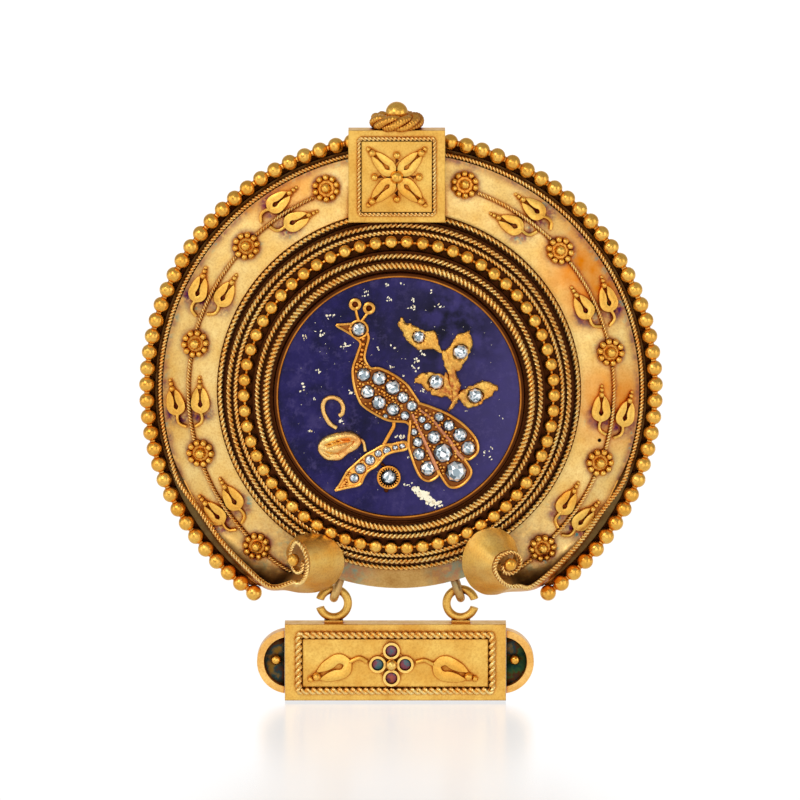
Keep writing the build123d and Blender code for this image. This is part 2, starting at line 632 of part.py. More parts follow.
def rim_rope():
    """Rope along the band's outer edge that runs on along both volutes' near edges."""
    lift = (SCROLL_WALL + RIM_ROPE_WIRE) / 2 + 2 * SEAM
    reach = SCROLL_ENTRY[0].angle - 6
    tails = []
    for volute in VOLUTES:
        sign = 1 if volute.side == "right" else -1
        near, far = scroll_edges(volute)
        edge = [front + (front - back).normalized() * lift for front, back in zip(near, far)]
        start = polar(RIM_ROPE_RADIUS, sign * reach, RIM_ROPE_HEIGHT)
        tangent = polar(1, sign * (reach + 90))
        climb = polar(RIM_ROPE_RADIUS, sign * SCROLL_ENTRY[0].angle, edge[0].Z)
        tails.append(rounded_path([start, start + tangent, climb] + edge[1:]))
    right, left = tails
    arc = ThreePointArc(left @ 0, (0, RIM_ROPE_RADIUS, RIM_ROPE_HEIGHT), right @ 0)
    return tube(Wire([edge for run in (left, arc, right) for edge in run.edges()]), RIM_ROPE_WIRE / 2)


def frame_rope(width, height, wire, level):
    """Rectangle of round wire, mitred at its corners, lying on a front."""
    z = level + SEAM + wire / 2
    right, top = (width - wire) / 2, (height - wire) / 2
    path = Polyline(
        (0, top, z), (right, top, z), (right, -top, z), (-right, -top, z), (-right, top, z), (0, top, z))
    ring = Plane(path @ 0, z_dir=path % 0) * Circle(wire / 2)
    return sweep(ring, path=path, transition=Transition.RIGHT)


def standing_box(width, height, front, back):
    """Box with the given front and back heights."""
    return Pos(0, 0, back) * Box(width, height, front - back, align=STANDING)


def raised_panel(width, height, wire, front, raised):
    """Panel that fills the inside of a rope frame but for a narrow groove."""
    inset = 2 * (wire + SEAM)
    return Pos(0, 0, front) * Box(width - inset, height - inset, 2 * raised)


PLAQUE_CENTRE_Y = ring_edges[-2][1] + 2 * SEAM + PLAQUE_HEIGHT / 2
PLAQUE = Pos(PLAQUE_CENTRE_X, PLAQUE_CENTRE_Y, 0)
PLAQUE_TOP = PLAQUE_CENTRE_Y + PLAQUE_HEIGHT / 2 + SEAM


def plaque_box():
    """Plaque whose lower edge is rebated over the collar's last step and its rope."""
    box = standing_box(PLAQUE_WIDTH, PLAQUE_HEIGHT, PLAQUE_FRONT, BAND_INNER_HEIGHT + 2 * SEAM)
    panel = raised_panel(
        PLAQUE_FRAME_WIDTH, PLAQUE_FRAME_HEIGHT, PLAQUE_ROPE_WIRE, PLAQUE_FRONT, PLAQUE_RAISE)
    fourth, fifth = RINGS[-2:]
    rope_top = fifth.seat + fifth.wire + 2 * SEAM
    step_top = fourth.seat + SEAM
    step = (ring_edges[-2][1] + ring_edges[-1][0]) / 2 + SEAM
    inner, outer = ring_edges[-2][0], ring_edges[-1][1] + 2 * SEAM
    rebate = turned(Polyline(
        (inner, 0), (outer, 0), (outer, rope_top), (step, rope_top), (step, step_top), (inner, step_top),
        close=True,
    ))
    return PLAQUE * joined(box, panel) - MEDALLION * rebate


def plaque_flower():
    """Four keyhole petals round a boss, with granules at the tips and between them."""
    front = PLAQUE_FRONT + PLAQUE_RAISE + SEAM
    petals = []
    loose = []
    for corner in range(4):
        turn = Rot(0, 0, 45 + 90 * corner)
        leaf = extrude(keyhole_leaf(PLAQUE_PETAL_LENGTH, PLAQUE_PETAL_HALF_WIDTH), PLAQUE_PETAL_SHEET)
        tip = PLAQUE_PETAL_START + PLAQUE_PETAL_LENGTH
        grains = tip_granules(tip, PLAQUE_GRANULES)
        petals.append(turn * joined(Pos(PLAQUE_PETAL_START, 0, 0) * leaf, *grains))
        side = PLAQUE_GRANULES[0]
        loose.append(Rot(0, 0, 90 * corner) * Pos(PLAQUE_SIDE_REACH, 0, side / 2) * Sphere(side / 2))
    boss = Pos(0, 0, PLAQUE_PETAL_SHEET) * Sphere(PLAQUE_BOSS / 2)
    boss -= Pos(0, 0, -PLAQUE_BOSS) * Box(2 * PLAQUE_BOSS, 2 * PLAQUE_BOSS, 2 * PLAQUE_BOSS)
    place = PLAQUE * Pos(0, 0, front)
    return [place * joined(boss, *petals)] + [place * grain for grain in loose]


def finial_ring():
    """Ring of wound cord that lies flat on the plaque's top."""
    ring = Rot(90, 0, 0) * Torus(FINIAL_RING_RADIUS, FINIAL_RING_WIRE / 2)
    return Pos(PLAQUE_CENTRE_X, PLAQUE_TOP + FINIAL_RING_WIRE / 2, FINIAL_FORWARD) * ring


def finial_ball():
    """Ball on a short post through the ring."""
    ball = Pos(0, FINIAL_BALL_LIFT, 0) * Sphere(FINIAL_BALL / 2)
    post = Pos(0, FINIAL_BALL_LIFT / 2, 0) * Rot(90, 0, 0) * Cylinder(FINIAL_POST_RADIUS, FINIAL_BALL_LIFT)
    return Pos(PLAQUE_CENTRE_X, PLAQUE_TOP, FINIAL_FORWARD) * joined(ball, post)


RING_CENTRE_Y = -BAR_HINGE_DROP - RING_RADIUS
BAR_TOP = RING_CENTRE_Y - RING_RADIUS - RING_WIRE / 2 - SADDLE_GAP
BAR_FRONT = BAR_HINGE_FORWARD + BAR_DEPTH / 2
BAR = Pos(BAR_CENTRE_X, BAR_TOP - BAR_HEIGHT / 2, 0)
BAR_PANEL = BAR * Pos(0, 0, BAR_FRONT + BAR_RAISE + SEAM)
RING_PLACES = [(side, RING_CENTRE_X + side * RING_HALF_SPAN) for side in (-1, 1)]


def brooch_loop(side, x):
    """Oval loop that hangs from behind the dish, its lower end inside the bar's ring."""
    bottom = -BAR_HINGE_DROP - (RING_WIRE + LOOP_WIRE) / 2 - RING_SLACK
    half = LOOP_LEG_SPACING / 2
    low, high = half, LOOP_LENGTH - half
    path = (
        Line((0, low, half), (0, high, half))
        + ThreePointArc((0, high, half), (0, LOOP_LENGTH, 0), (0, high, -half))
        + Line((0, high, -half), (0, low, -half))
        + ThreePointArc((0, low, -half), (0, 0, 0), (0, low, half))
    )
    ring = Plane(path @ 0, z_dir=path % 0) * Circle(LOOP_WIRE / 2)
    oval = sweep(ring, path=path)
    return Pos(x, bottom, BAR_HINGE_FORWARD) * Rot(0, 0, side * LOOP_LEAN) * oval


def bar_ring(side, x):
    """Open ring and the saddle that it is soldered down with."""
    gap_middle = 90 * side
    start = gap_middle + RING_GAP_ANGLE / 2
    place = Pos(x, RING_CENTRE_Y, BAR_HINGE_FORWARD)
    ring = place * arc_wire(RING_RADIUS, RING_WIRE, start, 360 - RING_GAP_ANGLE)
    saddle = Pos(x, BAR_TOP, BAR_HINGE_FORWARD) * Box(SADDLE_WIDTH, 2 * SADDLE_HEIGHT, RING_WIRE)
    return [ring, saddle]


def bar_box():
    """Hanging box with its panel and the two rings that it swings on."""
    box = BAR * standing_box(BAR_WIDTH, BAR_HEIGHT, BAR_FRONT, BAR_FRONT - BAR_DEPTH)
    panel = BAR * raised_panel(BAR_FRAME_WIDTH, BAR_FRAME_HEIGHT, BAR_ROPE_WIRE, BAR_FRONT, BAR_RAISE)
    hangers = [piece for side, x in RING_PLACES for piece in bar_ring(side, x)]
    return joined(box, panel, *hangers)


def bar_flower():
    """Four empty collets round a ball, soldered to a small disc."""
    disc = Cylinder(COLLET_REACH, COLLET_SHEET, align=STANDING)
    collets = []
    for quarter in range(4):
        cup = Cylinder(COLLET_RADIUS, COLLET_HEIGHT, align=STANDING)
        bore = Pos(0, 0, COLLET_FLOOR) * Cylinder(
            COLLET_RADIUS - COLLET_WALL, COLLET_HEIGHT, align=STANDING)
        collets.append(Rot(0, 0, 90 * quarter) * Pos(COLLET_REACH, 0, 0) * (cup - bore))
    ball = Pos(0, 0, BAR_BALL / 2 + COLLET_SHEET / 4) * Sphere(BAR_BALL / 2)
    return BAR_PANEL * Pos(*BAR_FLOWER) * joined(disc, ball, *collets)


def bar_leaf(row):
    """Keyhole leaf with granules at its tip and a bowed stem towards the flower."""
    body = extrude(keyhole_leaf(BAR_LEAF_LENGTH, BAR_LEAF_HALF_WIDTH), BAR_LEAF_SHEET)
    leaf = joined(body, *tip_granules(BAR_LEAF_LENGTH, BAR_LEAF_GRANULES))
    stem = tube(ThreePointArc(*[(x, y, BAR_STEM_WIRE / 2) for x, y in row.stem]), BAR_STEM_WIRE / 2)
    return BAR_PANEL * joined(Pos(row.x, row.y, 0) * Rot(0, 0, row.heading) * leaf, stem)


def lunette(side):
    """Rounded end with a sunk field and a ball."""
    centre = side * (BAR_WIDTH / 2 + LUNETTE_REACH - LUNETTE_RADIUS)
    front = BAR_FRONT - LUNETTE_STEP
    back = BAR_FRONT - BAR_DEPTH + LUNETTE_STEP
    floor = front - LUNETTE_SINK
    disc = Pos(centre, 0, back) * Cylinder(LUNETTE_RADIUS, front - back, align=STANDING)
    pocket = Pos(centre, 0, floor) * Cylinder(LUNETTE_RADIUS - LUNETTE_RIM, BAR_DEPTH, align=STANDING)
    inside = Pos(0, 0, back) * Box(BAR_WIDTH + 2 * SEAM, 3 * LUNETTE_RADIUS, 3 * BAR_DEPTH)
    ball = Pos(side * (BAR_WIDTH / 2 + LUNETTE_BALL_OUT), LUNETTE_BALL_RISE, floor + 0.4 * LUNETTE_BALL)
    return BAR * joined(disc - pocket - inside, ball * Sphere(LUNETTE_BALL / 2))


INLAY = MEDALLION * Pos(0, 0, STONE_FRONT + SEAM)


def rose_cut(gem):
    """Rose-cut stone: a small table, a ring of crown facets and a low girdle."""
    height = gem.radius * STONE_HEIGHT_SHARE
    points = []
    for ring in ROSE_CUT:
        for corner in range(STONE_SIDES):
            turn = 360 * (corner + ring.twist) / STONE_SIDES + gem.turn
            points.append(polar(gem.radius * ring.reach, turn, height * ring.level))
    return ConvexPolyhedron(points)


def set_stone(gem):
    """Stone standing in its pocket."""
    return INLAY * Pos(gem.x, gem.y, INLAY_SHEET - STONE_SINK + STONE_CLEARANCE / 2) * rose_cut(gem)


def pierced(sheet, gems):
    """Sheet with a pocket for each stone."""
    pockets = [
        Pos(gem.x, gem.y, INLAY_SHEET - STONE_SINK)
        * Cylinder(gem.radius + STONE_CLEARANCE, 1, align=STANDING)
        for gem in gems
    ]
    return sheet.cut(*pockets)


def blob(points):
    """Smooth closed outline filled in."""
    return make_face(Spline(*points, periodic=True))


def flat_wire(points, wire):
    """Wire laid on the lapis along a few points."""
    path = rounded_path([Vector(x, y, wire / 2) for x, y in points])
    return tube(path, wire / 2)


def peacock_setting(gems):
    """Bird with its crest and fanned tail, cut from one sheet with pockets."""
    body = make_face(
        Spline(*BREAST) + Line(BREAST[-1], BACK[0]) + Spline(*BACK) + Line(BACK[-1], BREAST[0])
    )
    middle = Vector(HEAD_STONE.x, HEAD_STONE.y)
    head = Pos(*middle) * Circle(HEAD_RADIUS)
    beak = make_face(Polyline(*BEAK, close=True))
    outline = body + head + beak
    for feather in FEATHERS:
        outline += blob(feather)
    bird = pierced(extrude(outline, INLAY_SHEET), gems)
    crest = []
    for place in CREST:
        ring = Vector(*place)
        towards = (middle - ring).normalized()
        stem = Line(ring + towards * CREST_RADIUS, middle - towards * (HEAD_RADIUS - 0.2))
        loop = Pos(*ring) * Torus(CREST_RADIUS, WIRE_FINE / 2)
        crest.append(Pos(0, 0, WIRE_FINE / 2) * joined(loop, tube(stem, WIRE_FINE / 2)))
    return INLAY * joined(bird, *crest)


def leaf_spray(gems):
    """Hammered leaves on a trunk."""
    outline = make_face(Polyline(*TRUNK, close=True))
    for leaf in LEAVES:
        outline += blob(leaf)
    return INLAY * pierced(extrude(outline, INLAY_SHEET), gems)


def branch(gems):
    """Tapering bough under the bird and the leg that stands on it."""
    bough = pierced(extrude(make_face(Polyline(*BOUGH, close=True)), INLAY_SHEET), gems)
    return INLAY * joined(bough, flat_wire(LEG, LEG_WIRE))


def fruit():
    """Swelling pod with its bent stem."""
    body = extrude(blob(FRUIT), FRUIT_THICKNESS)
    stem = tube(ThreePointArc(*[(x, y, WIRE_FINE / 2) for x, y in FRUIT_STEM]), WIRE_FINE / 2)
    return INLAY * joined(body, stem)


def berry_collet():
    """Round collet with a bead below and a stem to the bough."""
    place = Pos(BERRY_STONE.x, BERRY_STONE.y, 0)
    cup = Cylinder(BERRY_RADIUS, BERRY_HEIGHT, align=STANDING)
    floor = INLAY_SHEET - STONE_SINK
    bore = Pos(0, 0, floor) * Cylinder(BERRY_RADIUS - BERRY_WALL, BERRY_HEIGHT, align=STANDING)
    bead = Pos(-0.25, -BERRY_RADIUS - BERRY_BEAD / 4, BERRY_BEAD / 2) * Sphere(BERRY_BEAD / 2)
    stem = tube(ThreePointArc(*[(x, y, WIRE_FINE / 2) for x, y in BERRY_STEM]), WIRE_FINE / 2)
    return INLAY * joined(place * (cup - bore), place * bead, stem - place * bore)


def main():
    band = crescent_band()
    save("crescent_band", band.fuse(*[scroll_wall(volute) for volute in VOLUTES]))
    step = 2 * RIM_END_ANGLE / (RIM_BEADS - 1)
    rim_angles = [-RIM_END_ANGLE + step * index for index in range(RIM_BEADS)]
    save("rim_bead_wire", bead_ring(RIM_RADIUS, RIM_BEAD, RIM_CORE, rim_angles, 0, 2 * RIM_END_ANGLE))
    save("rim_rope", rim_rope())
    save("volute_balls", *[Pos(*place) * Sphere(VOLUTE_BALL / 2) for place in VOLUTE_BALL_PLACES])

    frame = MEDALLION * medallion_frame()
    save("medallion_frame", joined(frame, *[brooch_loop(side, x) for side, x in RING_PLACES]))
    save("back_plate", MEDALLION * back_plate())
    save("pin", pin())
    save("bezel", MEDALLION * bezel())
    stone = Cylinder(STONE_RADIUS, STONE_THICKNESS, align=STANDING)
    save("lapis_disc", MEDALLION * Pos(0, 0, STONE_FRONT - STONE_THICKNESS) * stone)
    for ring in RINGS:
        height = ring.seat + SEAM + ring.wire / 2
        radius = ring_radius[ring.name]
        if ring.name == "medallion_bead_wire":
            angles = [360 * (index + 0.5) / MEDALLION_BEADS for index in range(MEDALLION_BEADS)]
            shape = bead_ring(radius, ring.wire, MEDALLION_CORE, angles, height, 360)
        else:
            shape = Pos(0, 0, height) * Torus(radius, ring.wire / 2)
        save(ring.name, MEDALLION * shape)

    save("rosettes", *[on_band(row.radius, row.angle, row.angle) * rosette() for row in ROSETTES])
    save("leaf_pods", *leaf_pods())
    save("stem_wires", *stem_wires())

    save("plaque_box", plaque_box())
    rope = frame_rope(PLAQUE_FRAME_WIDTH, PLAQUE_FRAME_HEIGHT, PLAQUE_ROPE_WIRE, PLAQUE_FRONT)
    save("plaque_rope", PLAQUE * rope)
    save("plaque_flower", *plaque_flower())
    save("finial_ring", finial_ring())
    save("finial_ball", finial_ball())

    save("bar_box", bar_box())
    rope = frame_rope(BAR_FRAME_WIDTH, BAR_FRAME_HEIGHT, BAR_ROPE_WIRE, BAR_FRONT)
    save("bar_rope", BAR * rope)
    save("bar_flower", bar_flower())
    save("bar_leaf_left", bar_leaf(BAR_LEAF_LEFT))
    save("bar_leaf_right", bar_leaf(BAR_LEAF_RIGHT))
    save("lunette_left", lunette(-1))
    save("lunette_right", lunette(1))

    save("peacock_setting", peacock_setting([HEAD_STONE] + BODY_STONES + TAIL_STONES))
    save("leaf_spray", leaf_spray(LEAF_STONES))
    save("branch", branch(BRANCH_STONES))
    save("fruit", fruit())
    save("tendril", INLAY * flat_wire(TENDRIL, TENDRIL_WIRE))
    save("berry_collet", berry_collet())
    save("head_stone", set_stone(HEAD_STONE))
    save("body_stones", *[set_stone(gem) for gem in BODY_STONES])
    save("branch_stones", *[set_stone(gem) for gem in BRANCH_STONES])
    save("berry_stone", set_stone(BERRY_STONE))
    for number, gem in enumerate(TAIL_STONES, 1):
        save(f"tail_stone_{number}", set_stone(gem))
    for number, gem in enumerate(LEAF_STONES, 1):
        save(f"leaf_stone_{number}", set_stone(gem))


if __name__ == "__main__":
    main()
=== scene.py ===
"""Dresses the gold brooch: twisted ropes, satin crescent, inlaid lapis and hanging bar."""

import bisect
import math
import random

import bmesh
import bpy
from mathutils import Matrix, Vector, noise
from mathutils.geometry import interpolate_bezier, intersect_point_line


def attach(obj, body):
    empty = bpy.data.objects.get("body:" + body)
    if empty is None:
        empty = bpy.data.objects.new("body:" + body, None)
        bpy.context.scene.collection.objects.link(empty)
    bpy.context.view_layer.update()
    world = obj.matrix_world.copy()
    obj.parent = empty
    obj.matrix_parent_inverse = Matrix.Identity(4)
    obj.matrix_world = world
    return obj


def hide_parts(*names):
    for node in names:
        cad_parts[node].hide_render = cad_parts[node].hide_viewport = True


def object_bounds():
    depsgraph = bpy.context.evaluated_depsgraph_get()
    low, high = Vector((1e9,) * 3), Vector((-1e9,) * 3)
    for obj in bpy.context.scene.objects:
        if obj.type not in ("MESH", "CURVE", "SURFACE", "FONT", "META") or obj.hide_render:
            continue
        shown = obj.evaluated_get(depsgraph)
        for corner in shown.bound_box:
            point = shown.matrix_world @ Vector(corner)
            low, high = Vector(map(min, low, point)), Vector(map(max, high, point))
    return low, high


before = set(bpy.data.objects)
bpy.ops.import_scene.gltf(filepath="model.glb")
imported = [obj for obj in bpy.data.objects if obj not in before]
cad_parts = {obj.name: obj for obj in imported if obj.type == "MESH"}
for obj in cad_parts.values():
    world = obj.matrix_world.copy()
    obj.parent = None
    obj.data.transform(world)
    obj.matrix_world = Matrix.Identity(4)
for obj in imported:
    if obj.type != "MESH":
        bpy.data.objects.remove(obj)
cad_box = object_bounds()

# Shapes are laid out in the face frame, in millimetres: x to the right, y up and z towards
# the viewer, from the middle of the beaded rim. STAND sets them up in the part's frame.
MM = 0.001
STAND = Matrix(((MM, 0, 0, 0), (0, 0, -MM, -3.6 * MM), (0, MM, 0, -7.5 * MM), (0, 0, 0, 1)))
MEDALLION = Vector((-0.2, 0, 0))
GRAINS = random.Random(7)
# Ornament stands this far off the metal under it
CLEAR = 0.03

# A twisted wire's two strands: how far each lies off the wire's axis and its own radius, both
# as shares of the wire's radius
STRANDS = 2
STRAND_OFF = 0.42
STRAND_RADIUS = 0.58

# Ropes round the lapis: radius, height of the middle, thickness, bump and hand of the twist
ROPE_RINGS = {
    "rope_ring_first": (13.215, 5.305, 0.75, 0.46, 1),
    "rope_ring_second": (14.09, 4.70, 0.60, 0.46, -1),
    "rope_ring_third": (16.28, 3.40, 0.50, 0.44, 1),
    "rope_ring_fourth": (16.95, 3.00, 0.60, 0.50, -1),
    "rope_ring_fifth": (17.83, 1.60, 0.60, 0.50, 1),
}
# Ring of beads: radius, height of the middle and size of a bead, and their wire
BEAD_RING = (15.38, 4.00, 1.38)
MEDALLION_BEADS = 62
MEDALLION_WIRE = 0.24

# Crescent band: radius and height of its inner edge, crown line and outer edge
BAND_INNER = 18.19
BAND_INNER_HEIGHT = 1.30
BAND_MIDDLE = 21.0
BAND_MIDDLE_HEIGHT = 0.92
BAND_OUTER = 23.81
BAND_OUTER_HEIGHT = 0.30
BAND_SHEET = 0.35
# The sheet starts further in, because the collar lies off the rim's middle, and is then
# pushed out until it clears the collar
BAND_OVERREACH = 0.2
BAND_CLEARANCE = 0.01
# The crown is softly rounded: how much it rises, how far it reaches and how the rest sinks
CROWN_RISE = 0.1
CROWN_REACH = 1.6
CROWN_SINK = 0.06
# Angles where the band starts to turn up, where its edge goes behind the volute's wall, with
# how far behind, and where it ends, with the radius and height of its edge there; then the
# level of the straight cut across both ends
TURN_UP_ANGLE = 107
WALL_ANGLE = 147
BEHIND_WALL = 0.12
BAND_END_ANGLE = 154.0
BAND_END_EDGE = (20.3, 5.0)
BAND_TRIM = -20.05
# Flange and seat of the beads, with how black the painted shade of the groove is and where it ends
FLANGE_HEIGHT = -0.1
FLANGE_OUTER = 24.55
FLANGE_SHEET = 0.25
BEAD_SEAT_OUTER = 25.45
BEAD_SEAT_HEIGHT = -0.86
GROOVE_SHADE = 0.85
GROOVE_END_ANGLE = 141
# Rope of the rim and its beads by radius, height and size, a bump of the rope, and the wire
# that the beads are strung on
RIM_ROPE = (24.09, 0.18, 0.5)
ROPE_BUMP = 0.36
RIM_BEAD = (25.39, 0.0, 1.62)
RIM_BEADS = 79
RIM_END_ANGLE = 144.5
BEAD_WIRE = 0.6

# Ornament on the band: angle and radius of each rosette; both end angles and the radius of
# each stem; radius, angle and lean of each pod
ROSETTES = [
    (17.0, 21.65), (48.3, 21.20), (79.5, 21.25), (110.1, 21.15), (138.4, 21.30),
    (-20.1, 21.65), (-46.6, 21.20), (-77.0, 21.05), (-107.5, 21.00), (-137.5, 21.35),
]
STEMS = [
    (17.0, 48.3, 21.36), (48.3, 79.5, 21.27), (79.5, 110.1, 21.29), (110.1, 138.4, 21.26),
    (138.4, 149.6, 21.50), (-20.1, -46.6, 21.36), (-46.6, -77.0, 21.32), (-77.0, -107.5, 21.25),
    (-107.5, -137.5, 21.25), (-137.5, -149.6, 21.40),
]
PODS = [
    (22.55, 35.9, 3.8), (20.05, 33.2, -5.7), (20.05, 65.1, -6.2), (22.55, 66.0, 9.0),
    (20.05, 95.2, -3.8), (22.55, 96.2, 10.0), (20.05, 124.4, -4.3), (22.40, 125.7, 6.9),
    (22.55, -32.8, -6.2), (20.05, -31.4, 7.0), (22.55, -63.3, -10.0), (20.05, -61.1, 1.3),
    (22.55, -93.2, -10.0), (20.05, -92.8, 1.4), (20.05, -122.9, 1.0), (22.40, -123.9, -8.3),
]
# Pod by length, half width and thickness, its granules, and the bow of its stem, which lies at
# one height, by thickness and points
POD = (2.72, 0.95, 0.3)
POD_GRAINS = (0.60, 0.48, 0.38)
POD_STEM = 0.34
POD_STEM_HEIGHT = 0.17
POD_BOW = [(0.25, 0), (-0.35, -0.16), (-0.85, -0.02), (-1.25, 0.56)]
# Rosette: radius and thickness of its disc, height and radius of its ball and of its
# granules, their number, and the ring that they stand on
ROSETTE_DISC = (1.21, 0.12)
ROSETTE_BALL = (0.46, 0.54)
ROSETTE_GRAIN = (0.3, 0.34)
ROSETTE_GRAINS = 10
ROSETTE_RING = 1.09
# Stems between the rosettes: thickness, bump, height above the sheet and the gap at a rosette
STEM_ROPE = (0.4, 0.33)
STEM_LIFT = 0.26
STEM_GAP = 1.5
# Keyhole leaf in shares of its length and half width: one side, the slot, the middle, reach
# and half width of the eye, and the eye's round end
KEYHOLE_SIDE = [(0, 0), (0.13, 0.72), (0.36, 1), (0.7, 0.82), (0.88, 0.58), (1, 0.27)]
KEYHOLE_SLOT = [(0.72, 0.09), (0.55, 0.09)]
KEYHOLE_EYE = (0.36, 0.10, 0.25)
KEYHOLE_END = 0.24
# Granules at the tips of a leaf: gap to the first, and how far each runs into the next
TIP_GAP = 0.09
GRAIN_MEET = 0.05

# Where the volutes' walls leave the rim: angle, radius and height of the near edge, and
# radius and height of the far edge
SCROLL_ENTRY = [
    (113.0, 23.62, 0.28, 23.72, -0.25), (122.0, 23.66, 0.55, 23.90, -0.25),
    (130.0, 23.66, 1.05, 24.10, -0.25), (138.0, 23.62, 1.90, 24.30, -0.20),
    (146.0, 23.52, 3.30, 24.40, 0.10),
]
# Each volute, right and left: an oval for the near edge and one for the far edge, as middle
# (x, y, z), half width, half height and how z leans with x and y, then the turn into the
# scroll, as angle and the share of each oval that is reached there
VOLUTES = {
    1: (
        (10.60, -16.75, 6.1, 1.53, 2.0, -0.9, 0.5), (9.05, -16.95, 3.2, 2.95, 3.65, -0.3, 1.3),
        [
            (-60, 1.45, 1.06), (-82, 1.25, 1.0), (-109, 1.08, 1.0), (-140, 1.0, 1.0),
            (-175, 1.03, 1.0), (-210, 0.92, 1.0), (-245, 0.78, 1.0), (-285, 0.80, 1.0),
            (-325, 0.88, 0.98), (-360, 0.80, 0.80), (-400, 0.60, 0.55), (-445, 0.50, 0.42),
            (-495, 0.50, 0.38), (-545, 0.50, 0.36),
        ],
    ),
    -1: (
        (-10.15, -16.45, 6.0, 1.12, 2.2, 1.5, 0.5), (-9.50, -17.0, 3.2, 3.85, 3.4, 0.3, 1.3),
        [
            (-60, 1.30, 1.06), (-82, 1.12, 1.0), (-109, 1.05, 1.0), (-140, 1.0, 1.0),
            (-175, 1.0, 1.0), (-210, 0.98, 1.0), (-245, 0.98, 0.98), (-285, 1.0, 0.86),
            (-325, 0.92, 0.62), (-360, 0.80, 0.42), (-400, 0.62, 0.34), (-445, 0.52, 0.30),
            (-495, 0.50, 0.28), (-545, 0.48, 0.26),
        ],
    ),
}
VOLUTE_WALL = 0.3
VOLUTE_BALLS = [(10.9, -16.58, 7.1), (-10.73, -16.2, 6.6)]
VOLUTE_BALL_RADIUS = 0.63

# Plaque by the middle of its front, its rope by width, height and thickness, and its petals
# by length, half width and thickness, with their granules; then height and radius of its eye,
# and the distance from the middle and radius of its four balls and of its four notches, dark
# triangles of painted shade
PLAQUE = Matrix.Translation((-0.42, 21.935, 3.5))
PLAQUE_ROPE = (7.9, 8.0, 0.42)
PETAL = (3.05, 0.85, 0.22)
PETAL_GRAINS = (0.72, 0.48)
PLAQUE_EYE = (0.22, 0.64)
PLAQUE_BALL = (2.2, 0.36)
PLAQUE_NOTCH = (1.62, 0.26)
# Finial: middle and radius of its ring, how far its three cords wind across and along it,
# their thickness, the step of the fine wire round them, and height and radius of the ball
FINIAL_RING = (Vector((-0.42, 27.165, 1.9)), 2.05)
FINIAL_WIND = (0.34, 0.42)
FINIAL_CORD = 0.82
FINIAL_RIB = 0.24
FINIAL_BALL = (0.95, 1.12)
# Bar by the middle of its front and its rope like the plaque's, and how far the panel inside
# the rope stands up on both
BAR = Matrix.Translation((-0.56, -27.825, -0.22))
BAR_ROPE = (20.2, 6.45, 0.76)
PANEL_RAISE = 0.33
# From the bar's middle: its flower, the ring that the four collets stand on, with the radius
# of their glaze, and the ball on the right end as x, y, z and radius
BAR_FLOWER = (-0.40, -0.09)
COLLET_RING = 1.38
COLLET_FILL = 0.6
LUNETTE_BALL = (12.0, 0.17, -0.566, 0.51)
# Leaves of the bar by length, half width and thickness, with their granules, then each from
# the bar's middle: x and y of the base, heading, and the bow of the stem
BAR_LEAF = (3.75, 1.28, 0.28)
BAR_LEAF_GRAINS = (0.84, 0.62)
BAR_LEAVES = {
    "bar_leaf_left": (-4.39, 0.23, 204.0, [(-4.6, 0.14), (-3.6, 0.55), (-2.84, 0.16)]),
    "bar_leaf_right": (3.71, -0.07, -19.0, [(3.8, -0.1), (2.9, 0.3), (2.06, 0.1)]),
}

# Inlay: height of the lapis's front, thickness of the sheet on it, and thickness of a wall
# with its width as a share. Then places from the medallion's middle; a stone of a list is x,
# y and radius
INLAY_FRONT = 5.03
SHEET = 0.32
WALL = 0.34
WALL_WIDTH = 0.85
HEAD = (-4.00, 6.84)
BERRY = (-1.02, -8.05)
BODY_STONES = [
    (-3.53, 2.27, 0.67), (-1.96, 1.91, 0.72), (-0.62, 0.99, 0.75), (-3.13, 0.53, 0.69),
    (-2.00, -0.53, 0.71), (0.40, -0.02, 0.58), (-0.58, -1.23, 0.65), (1.29, -0.87, 0.54),
    (0.59, -1.87, 0.46), (-1.36, -1.93, 0.27),
]
TAIL_STONES = [
    (4.01, -1.97, 0.48), (4.97, -2.84, 0.57), (6.08, -3.81, 0.70), (6.91, -5.13, 0.71),
    (2.29, -2.23, 0.38), (2.83, -2.96, 0.40), (3.50, -4.04, 0.67), (4.39, -5.62, 0.95),
    (5.67, -7.49, 1.05), (1.52, -3.52, 0.37), (1.87, -4.53, 0.51), (2.00, -5.75, 0.62),
    (2.89, -7.17, 0.76),
]
LEAF_STONES = [(1.97, 6.09, 0.60), (6.14, 4.55, 0.76), (3.69, 1.53, 0.74), (7.60, 0.13, 0.75)]
BRANCH_STONES = [
    (-4.46, -8.16, 0.48), (-3.85, -7.19, 0.55), (-2.89, -6.34, 0.52), (-2.07, -5.66, 0.37),
    (-1.21, -5.37, 0.41), (-0.38, -5.09, 0.29), (0.32, -4.94, 0.31),
]
BREAST = [
    (-4.45, 6.11), (-3.83, 5.48), (-4.1, 4.48), (-4.6, 2.84), (-4.45, 1.14), (-4.0, -0.2),
    (-3.54, -0.87), (-2.32, -1.69), (-1.02, -2.31), (0.59, -2.46), (1.05, -2.77),
]
BACK = [
    (1.98, -0.49), (1.22, 0.68), (0.61, 1.45), (-0.54, 2.27), (-1.92, 2.93), (-2.84, 2.97),
    (-3.41, 3.86), (-3.34, 4.71), (-3.03, 5.94), (-3.15, 6.5),
]
BEAK = [(-4.75, 6.35), (-5.4, 6.75), (-6.22, 7.27), (-5.4, 7.36), (-4.72, 7.42)]
FEATHER_EDGES = [
    [(1.9, -0.55), (3.05, -0.91), (4.84, -1.68), (6.43, -2.77), (7.65, -4.2), (7.84, -5.43),
     (7.1, -6.2), (6.5, -6.1)],
    [(6.43, -6.1), (7.2, -7.55), (6.3, -8.81), (5.0, -8.98), (3.82, -7.29)],
    [(3.82, -7.2), (3.88, -7.88), (2.93, -8.42), (1.97, -7.75), (1.08, -5.43), (0.95, -4.45),
     (1.1, -2.91), (1.1, -2.3)],
]
